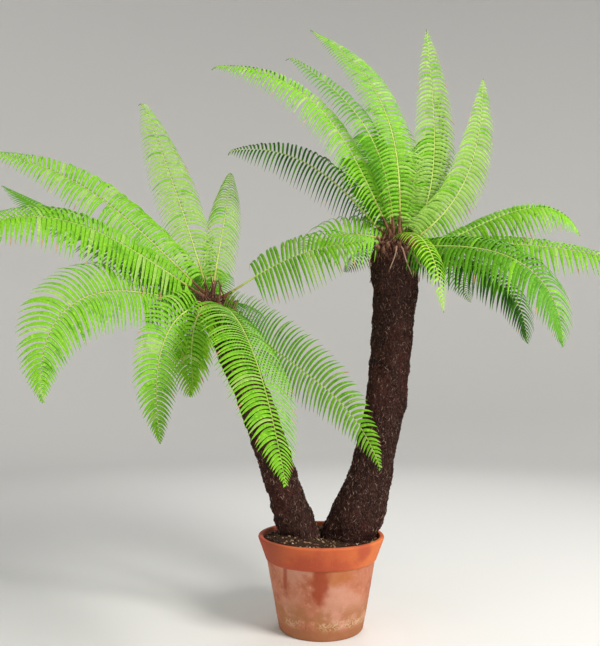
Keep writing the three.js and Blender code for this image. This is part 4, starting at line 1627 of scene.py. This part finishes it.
class RibLine:
    """The middle line of a frond's rib, with the blade's own directions along it."""

    step = 0.005
    heart_depth = 0.010
    hook_from = 0.955
    search_from = 0.06
    search_step = 0.002
    furthest_back = -0.07

    def __init__(self, trunk: Trunk, frond: Frond) -> None:
        """Works the line out by the source's rule.

        Args:
            trunk: The trunk that carries the frond.
            frond: The frond.
        """
        heading = math.radians(frond.heading)
        start = np.array([
            trunk.head[0] + frond.out * math.cos(heading),
            trunk.head[1] + frond.out * math.sin(heading),
            trunk.top - self.heart_depth + frond.lift,
        ])
        steps = round(frond.length / self.step)
        share = np.arange(steps + 1) / steps
        late = share**frond.bend
        eased = late * late * (3 - 2 * late)
        hooked = frond.hook * np.clip((share - self.hook_from) / (1 - self.hook_from), 0, 1)
        slope = np.radians(frond.rise + (frond.fall - frond.rise) * eased - hooked)
        turn = heading + math.radians(frond.sweep) * share
        level = np.cos(slope)
        self.along = np.column_stack([level * np.cos(turn), level * np.sin(turn), np.sin(slope)])
        self.side = np.column_stack([-np.sin(turn), np.cos(turn), np.zeros(steps + 1)])
        moves = np.vstack([np.zeros(3), self.along[:-1] * frond.length / steps])
        self.points = start + np.cumsum(moves, axis=0)
        self.length = frond.length
        self.roll = math.radians(frond.roll)

    def at(self, distance: np.ndarray) -> tuple[np.ndarray, np.ndarray, np.ndarray, np.ndarray]:
        """Places on the line, which runs straight on below its start.

        Args:
            distance: How far along each place is.

        Returns:
            The point, the way along, the way across the blade and the blade's upper side, for each place.
        """
        distance = np.atleast_1d(np.asarray(distance, float))
        known = np.linspace(0, self.length, len(self.points))
        point, along, side = (
            np.column_stack([np.interp(distance, known, rows[:, k]) for k in range(3)])
            for rows in (self.points, self.along, self.side)
        )
        along /= np.linalg.norm(along, axis=1, keepdims=True)
        side /= np.linalg.norm(side, axis=1, keepdims=True)
        point += along * np.minimum(distance, 0)[:, None]
        normal = np.cross(along, side)
        across = side * math.cos(self.roll) + normal * math.sin(self.roll)
        return point, along, across, np.cross(along, across)

    def start(self, trunk: Trunk, sunk: float) -> float:
        """Where the stalk begins inside its trunk.

        Args:
            trunk: The trunk.
            sunk: How deep the stalk is sunk into it.

        Returns:
            The distance along the line.
        """
        distance = self.search_from
        while distance > self.furthest_back and trunk.depth(self.at(distance)[0][0]) > -sunk:
            distance -= self.search_step
        return distance


class Leaflet(NamedTuple):
    """What a leaflet's point holds: its root, reach, hang, directions, width, tint and dryness."""

    root: np.ndarray
    reach: np.ndarray
    hang: float
    rib_way: np.ndarray
    face_way: np.ndarray
    width: float
    tint: float
    dry: float


@dataclass
class Blades:
    """The leaflets' rule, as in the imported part's source but with the real spacing."""

    longest: float = 0.100
    pitch: float = 0.0122
    closer: Triple = (0.62, 0.38, 1.6)
    width: float = 0.0088
    narrow: Pair = (0.20, 0.80)
    bare_tip: float = 0.004
    lean_base: float = 86.0
    lean_tip: float = 45.0
    lean_power: float = 2.5
    lean_uneven: float = 3.0
    opening: Pair = (0.7, 1.6)
    closing: Triple = (0.4, 1.9, 0.9)
    shortest: float = 0.08
    uneven: float = 0.05
    second_share: float = 0.10
    dry_lengths: Pair = (0.06, 0.22)
    root_aside: float = 0.55
    root_rise: float = 0.45
    tested: Triple = (0.35, 0.7, 1.0)
    trunk_clearance: float = 0.002

    def share(self, along: float, bare: float) -> float:
        """The share of the longest leaflet: short low down, then long, then tapering.

        Args:
            along: The share of the frond's length.
            bare: The share that has no leaflets.

        Returns:
            The share.
        """
        used = max(0.0, (along - bare) / (1 - bare))
        opening = min(1.0, self.opening[0] + self.opening[1] * used)
        begins, power, rounding = self.closing
        closing = 1 - max(0.0, (used - begins) / (1 - begins)) ** power
        return opening * max(0.0, closing) ** rounding

    def leaflets(
        self, line: RibLine, frond: Frond, others: list[Trunk], chance: random.Random,
    ) -> list[Leaflet]:
        """The leaflets of one frond.

        Args:
            line: The frond's rib.
            frond: The frond.
            others: The trunks that no leaflet may touch.
            chance: The source of random numbers.

        Returns:
            The leaflets on the one side, then on the other.
        """
        found = []
        least, more, full = self.closer
        for sign in (1, -1):
            distance = frond.bare * frond.length + (self.pitch / 2 if sign > 0 else 0.0)
            while distance < frond.length - self.bare_tip:
                leaflet = self.leaflet(line, frond, others, chance, sign, distance)
                if leaflet:
                    found.append(leaflet)
                size = self.share(distance / frond.length, frond.bare)
                distance += self.pitch * (least + more * min(1.0, full * size))
        return found

    def leaflet(
        self, line: RibLine, frond: Frond, others: list[Trunk], chance: random.Random,
        sign: int, distance: float,
    ) -> Leaflet | None:
        """One leaflet.

        Args:
            line: The frond's rib.
            frond: The frond.
            others: The trunks that it may not touch.
            chance: The source of random numbers.
            sign: 1 or -1, for its side.
            distance: How far along the rib it stands.

        Returns:
            The leaflet, or nothing where it would touch a trunk.
        """
        share = distance / frond.length
        (point,), (along,), (across,), (flat,) = line.at(distance)
        leaned = self.lean_base + (self.lean_tip - self.lean_base) * share**self.lean_power
        lean = math.radians(leaned + chance.uniform(-self.lean_uneven, self.lean_uneven))
        straight = across * sign * math.sin(lean) + along * math.cos(lean)
        fallen = straight - UP * frond.hang
        size = max(self.shortest, self.share(share, frond.bare))
        length = self.longest * frond.leaf * size * (1 + chance.uniform(-self.uneven, self.uneven))
        factor = length / float(np.linalg.norm(fallen))
        thickness = rib_radius(share)
        root = point + across * sign * thickness * self.root_aside + flat * thickness * self.root_rise
        for trunk in others:
            depths = (trunk.depth(root + fallen * factor * part) for part in self.tested)
            if min(depths) < self.trunk_clearance:
                return None
        least, more = self.narrow
        width = self.width * frond.slim * (least + more * math.sqrt(size * frond.leaf))
        tint = NEXT_TINT[frond.tint] if chance.random() < self.second_share else frond.tint
        dry = chance.uniform(*self.dry_lengths) if chance.random() < frond.dry else 0.0
        return Leaflet(root, straight * factor, frond.hang, along, flat, width, float(tint.value), dry)


def rib_radius(share: float) -> float:
    """The rib's radius at a share of the frond's length."""
    at_tip, more_at_foot, power = 0.0008, 0.0028, 1.5
    return at_tip + more_at_foot * (1 - min(1.0, max(0.0, share))) ** power


def leaf_blade() -> bpy.types.Object:
    """A leaflet one unit long: a thin closed blade with a raised middle, widest low down and pointed.

    Returns:
        The object. Each point's place holds its share of the length, of the width, and its rise.
    """
    shares = (0.0, 0.05, 0.14, 0.26, 0.40, 0.55, 0.69, 0.82, 0.92)
    foot_width, more, full_at, power = 0.72, 0.28, 0.10, 2.4
    folding, upper, under = -0.16, 0.05, -0.03
    points = []
    for share in shares:
        half = 0.5 * (foot_width + more * min(1.0, share / full_at)) * (1 - share**power)
        fold = folding * half
        points += [(share, -half, fold), (share, 0, upper), (share, half, fold), (share, 0, under)]
    points.append((1.0, 0.0, 0.0))
    sides, tip = 4, len(points) - 1
    faces = []
    for k in range(len(shares) - 1):
        for side in range(sides):
            low, after = sides * k + side, sides * k + (side + 1) % sides
            faces.append((low, low + sides, after + sides, after))
    end = sides * (len(shares) - 1)
    faces += [(end + side, tip, end + (side + 1) % sides) for side in range(sides)]
    faces.append((0, 1, 2, 3))
    made = mesh_object("leaflet_blade", np.array(points), faces)
    give(made.data, "place", np.array(points))
    margins = [{*range(side, tip, sides), tip} for side in (0, 2)]
    sharp = [any(set(edge.vertices) <= margin for margin in margins) for edge in made.data.edges]
    made.data.attributes.new("sharp_edge", "BOOLEAN", "EDGE").data.foreach_set("value", sharp)
    return made


@dataclass
class Crown:
    """One trunk's fronds: leaflets and ribs, each kind joined."""

    trunk: Trunk
    fronds: dict[str, Frond]
    blades: Blades = field(default_factory=Blades)
    seed: int = 1
    stalk_sunk: float = 0.008
    rib_step: float = 0.010
    rib_sides: int = 9
    even_to: float = 0.95
    last_places: tuple[float, ...] = (0.965, 0.98, 0.99, 1.0)
    foot_spread: float = 0.0042
    foot_reach: float = 0.03
    rib_finishes: tuple[Finish, ...] = (STALK_BROWN, STALK_OLIVE, RIB_YELLOW, RIB_DARK)
    rib_starts: Triple = (0.09, 0.17, 0.985)
    arch: float = 0.22
    sickle: float = 0.14
    cup: float = 0.10
    twist: float = 0.30
    twist_spread: float = 0.16

    def build(self, leaflet_maker: GeometryTree, stalk_maker: GeometryTree, trunks: list[Trunk]) -> None:
        """Makes the crown's leaflets and ribs.

        Args:
            leaflet_maker: The tree that makes blades from points.
            stalk_maker: The tree that makes stalks from lines.
            trunks: All the trunks, which leaflets keep clear of.
        """
        chance = random.Random(self.seed)
        leaflets = []
        ribs = Lines(f"{self.trunk.name}_rib_lines")
        for frond in self.fronds.values():
            line = RibLine(self.trunk, frond)
            leaflets += self.blades.leaflets(line, frond, trunks, chance)
            self.draw_rib(ribs, line)
        self.build_leaflets(leaflet_maker, leaflets)
        name = f"{self.trunk.name}_crown_ribs"
        settle(ribs.grow(stalk_maker, name, self.rib_sides, self.rib_finishes, self.rib_starts), Slot.FROND)

    def draw_rib(self, ribs: Lines, line: RibLine) -> None:
        """Adds one rib to the crown's lines.

        Args:
            ribs: The lines.
            line: The rib.
        """
        start = line.start(self.trunk, self.stalk_sunk)
        count = round((line.length - start) / self.rib_step)
        even = np.linspace(start, line.length * self.even_to, count)
        places = np.concatenate([even, line.length * np.array(self.last_places)])
        swollen = [self.foot_spread * math.exp(-(((p - start) / self.foot_reach) ** 2)) for p in places]
        radii = [rib_radius(p / line.length) + more for p, more in zip(places, swollen)]
        ribs.draw(line.at(places)[0], radii)

    def build_leaflets(self, leaflet_maker: GeometryTree, leaflets: list[Leaflet]) -> None:
        """Grows the crown's leaflets in one piece, which stands for its packed fronds.

        Args:
            leaflet_maker: The tree that makes blades from points.
            leaflets: The leaflets.
        """
        nodes = [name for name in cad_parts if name.startswith(self.trunk.name) and "_frond" in name]
        columns = {name: np.array(column) for name, column in zip(Leaflet._fields, zip(*leaflets))}
        base = mesh_object(f"{self.trunk.name}_leaflet_places", columns["root"], [])
        for name, values in columns.items():
            give(base.data, name, values)
        blade = leaf_blade()
        made = leaflet_maker.grow(
            f"{self.trunk.name}_crown_leaflets", base, Blade=blade, Arch=self.arch, Sickle=self.sickle,
            Cup=self.cup, Twist=self.twist, Twist_Spread=self.twist_spread, Seed=float(self.seed),
            Dry=LEAF_DRY, **{tint.name.title(): finish for tint, finish in LEAF.items()},
        )
        log.info("%s crown: %d leaflets", self.trunk.name, len(leaflets))
        settle(made, Slot.FROND, *nodes)
        drop(blade)


@dataclass
class OldStalks:
    """Withered stalks that hang from a crown or stand in it.

    Each stalk has its heading round the trunk, how far below the tip it starts, its length down, how
    far it stands out and, where it leans, how far its end lies aside.
    """

    trunk: Trunk
    stalks: tuple[tuple[float, ...], ...]
    name: str = "dead_stalks"
    wood: Finish = DEAD_STALK
    tip: Finish = STUB_SIDE
    radius: float = 0.0040
    steps: int = 12
    sides: int = 7
    starts: Triple = (0.15, 0.5, 0.93)
    root_depth: float = 0.008
    wander: float = 0.006
    aside_pace: Pair = (4.5, 2.3)
    outward_pace: Pair = (7.0, 2.0)
    arched_by: float = 1.5
    clear: Pair = (0.010, 4.0)
    fall_power: float = 1.35
    taper: float = 0.62

    def build(self, tree: GeometryTree) -> None:
        """Makes the stalks.

        Args:
            tree: The tree that makes stalks from lines.
        """
        lines = Lines(f"{self.trunk.name}_{self.name}_lines")
        radii = [self.radius * (1 - self.taper * k / self.steps) for k in range(self.steps + 1)]
        for number, stalk in enumerate(self.stalks):
            lines.draw(self.places(number, *stalk), radii)
        finishes = (STUB_SIDE, self.wood, self.wood, self.tip)
        made = lines.grow(tree, f"{self.trunk.name}_{self.name}", self.sides, finishes, self.starts)
        settle(made, Slot.TRUNK)

    def places(
        self, number: int, heading: float, below: float, length: float, out: float, lean: float = 0.0,
    ) -> np.ndarray:
        """The points of one stalk's line.

        Args:
            number: The stalk's number, which sets how it wanders.
            heading: Its heading round the trunk.
            below: How far below the trunk's tip it starts.
            length: How far it falls, or rises where this is negative.
            out: How far it stands out.
            lean: How far its end lies aside.

        Returns:
            One row for each point.
        """
        angle = math.radians(heading)
        outward = np.array([math.cos(angle), math.sin(angle), 0.0])
        aside = np.array([-outward[1], outward[0], 0.0])
        middle, radius = self.trunk.ring(self.trunk.top - below)
        root = middle + outward * (radius - self.root_depth)
        clearance, clear_by = self.clear
        places = []
        for k in range(self.steps + 1):
            share = k / self.steps
            sway, swing = (
                self.wander * math.sin(pace * share + shift * number) * share
                for pace, shift in (self.aside_pace, self.outward_pace)
            )
            arched = out * math.sin(min(1.0, self.arched_by * share) * math.pi / 2)
            spread = arched + clearance * min(1.0, clear_by * share)
            fall = UP * length * share**self.fall_power
            places.append(root + outward * (spread + swing) + aside * (sway + lean * share) - fall)
        return np.array(places)


# Studio


class Lamp(NamedTuple):
    """A broad lamp: where it stands, its width, its power and its colour."""

    place: Triple
    size: float
    power: float
    colour: Colour


@dataclass
class Studio:
    """A level camera, a pale floor that rises all round, and soft light."""

    image: tuple[int, int] = (600, 646)
    focal_pixels: float = 640.0
    level_row: float = 390.0
    sensor: float = 36.0
    eye: Triple = (-0.060, -1.837, 0.677)
    floor_radius: float = 6.0
    bend_radius: float = 1.8
    wall_top: float = 6.5
    floor_sides: int = 96
    flat_rings: int = 8
    bend_steps: int = 12
    floor_colour: Colour = (0.80, 0.79, 0.77)
    sky_colour: Colour = (0.93, 0.96, 1.0)
    sky_strength: float = 0.28
    aim: Triple = (-0.05, 0.1, 0.95)
    key: Lamp = Lamp((2.5, -2.2, 3.2), 1.5, 196.0, (1.0, 0.98, 0.94))
    fill: Lamp = Lamp((-2.6, -2.2, 2.6), 2.2, 18.0, (0.97, 0.99, 1.0))
    back: Lamp = Lamp((0.8, 2.9, 3.3), 2.2, 35.0, (1.0, 1.0, 1.0))

    def build_camera(self) -> None:
        """Makes the camera with the photograph's viewing angle."""
        camera = bpy.data.cameras.new("camera")
        long_side = max(self.image)
        camera.sensor_width = self.sensor
        camera.lens = self.sensor * self.focal_pixels / long_side
        camera.shift_y = (self.level_row - self.image[1] / 2) / long_side
        made = linked(bpy.data.objects.new("camera", camera))
        made.location = self.eye
        made.rotation_euler = (math.pi / 2, 0, 0)
        bpy.context.scene.camera = made

    def build_floor(self) -> None:
        """Makes the floor, which bends up into a wall far round the plant."""
        bend, sides = self.bend_radius, self.floor_sides
        flat = self.floor_radius - bend
        profile = [(flat * k / self.flat_rings, 0.0) for k in range(1, self.flat_rings)]
        quarter = quarter_turn(self.bend_steps)
        profile += [(flat + bend * math.sin(a), bend * (1 - math.cos(a))) for a in quarter]
        profile += [(self.floor_radius, self.wall_top)]
        points = np.vstack([*turned_rings(profile, sides), (0, 0, 0)])
        faces = [tuple(reversed(face)) for face in ring_faces(len(profile), sides)]
        faces += [(len(points) - 1, i, (i + 1) % sides) for i in range(sides)]
        floor = mesh_object("floor", points, faces)
        tone = self.floor_colour
        paint = Finish("studio_floor", tone, tone, tone, roughness=0.9, relief=0.0)
        floor.data.materials.append(paint.material())

    def build_lights(self) -> None:
        """Makes a pale sky and three broad lamps."""
        world = bpy.data.worlds.new("sky")
        world.use_nodes = True
        sky = world.node_tree.nodes["Background"].inputs
        sky["Color"].default_value = opaque(self.sky_colour)
        sky["Strength"].default_value = self.sky_strength
        bpy.context.scene.world = world
        for name, lamp in {"key": self.key, "fill": self.fill, "back": self.back}.items():
            light = bpy.data.lights.new(name, "AREA")
            light.size, light.energy, light.color = lamp.size, lamp.power, lamp.colour
            made = linked(bpy.data.objects.new(name, light))
            made.location = lamp.place
            towards = Vector(self.aim) - Vector(lamp.place)
            made.rotation_euler = towards.to_track_quat("-Z", "Y").to_euler()
            made.visible_camera = False

    def build(self) -> None:
        """Makes the whole studio."""
        self.build_camera()
        self.build_floor()
        self.build_lights()
        bpy.context.scene.view_settings.view_transform = "Standard"


LEFT_TRUNK = Trunk(
    "left", foot=(-0.062, -0.010), head=(-0.308, -0.030), top=0.944, straighten=1, bow=0.012, radius=0.049,
    flare=0.010, flare_spread=0.090, swelling=0.003, dome_height=0.060, seed=31.0,
)
RIGHT_TRUNK = Trunk(
    "right", foot=(0.080, 0.015), head=(0.214, 0.020), top=1.122, straighten=2.7, bow=0.0, radius=0.057,
    flare=0.024, flare_spread=0.110, swelling=0.008, dome_height=0.070, seed=47.0, flare_rise=0.040,
)
RIGHT_HANGING = (
    (270, 0.034, 0.082, 0.016, -0.020), (276, 0.034, 0.098, 0.020, 0.030),
    (306, 0.052, 0.088, 0.024, 0.016), (318, 0.060, 0.050, 0.010), (20, 0.050, 0.085, 0.014),
    (110, 0.055, 0.095, 0.012), (165, 0.050, 0.080, 0.010),
)
LEFT_HANGING = (
    (200, 0.050, 0.060, 0.006), (285, 0.055, 0.070, 0.008), (20, 0.050, 0.065, 0.010),
    (95, 0.052, 0.075, 0.008),
)
LEFT_STANDING = (
    (190, 0.018, -0.060, -0.012), (222, 0.020, -0.070, -0.012), (246, 0.015, -0.052, -0.020),
    (262, 0.020, -0.078, -0.016), (285, 0.016, -0.060, -0.010), (303, 0.020, -0.072, -0.020),
    (328, 0.018, -0.050, -0.008), (60, 0.018, -0.060, -0.012), (130, 0.020, -0.055, -0.010),
)
RIGHT_STANDING = (
    (200, 0.020, -0.045, -0.010), (235, 0.018, -0.060, -0.016), (275, 0.020, -0.050, -0.012),
    (310, 0.018, -0.062, -0.008), (350, 0.020, -0.050, -0.012), (80, 0.018, -0.055, -0.010),
)


def main() -> None:
    """Builds every part in order."""
    logging.basicConfig(level=logging.INFO, format="%(name)s: %(message)s")
    Studio().build()
    scatter, stubs, stalks, leaflets = scatter_tree(), stub_tree(), stalk_tree(), leaflet_tree()
    pot = Pot()
    pot.build()
    PottingMix(pot).build(scatter)
    trunks = [LEFT_TRUNK, RIGHT_TRUNK]
    for trunk in trunks:
        trunk.build(scatter, stubs)
    Crown(LEFT_TRUNK, LEFT_FRONDS, seed=5).build(leaflets, stalks, trunks)
    Crown(RIGHT_TRUNK, RIGHT_FRONDS, seed=9).build(leaflets, stalks, trunks)
    OldStalks(RIGHT_TRUNK, RIGHT_HANGING, radius=0.0029).build(stalks)
    OldStalks(LEFT_TRUNK, LEFT_HANGING).build(stalks)
    for trunk, standing in ((LEFT_TRUNK, LEFT_STANDING), (RIGHT_TRUNK, RIGHT_STANDING)):
        standing_stalks = OldStalks(
            trunk, standing, "standing_stalks", wood=OLD_STALK, tip=DEAD_STALK, radius=0.0032,
        )
        standing_stalks.build(stalks)


if __name__ == "__main__":
    main()
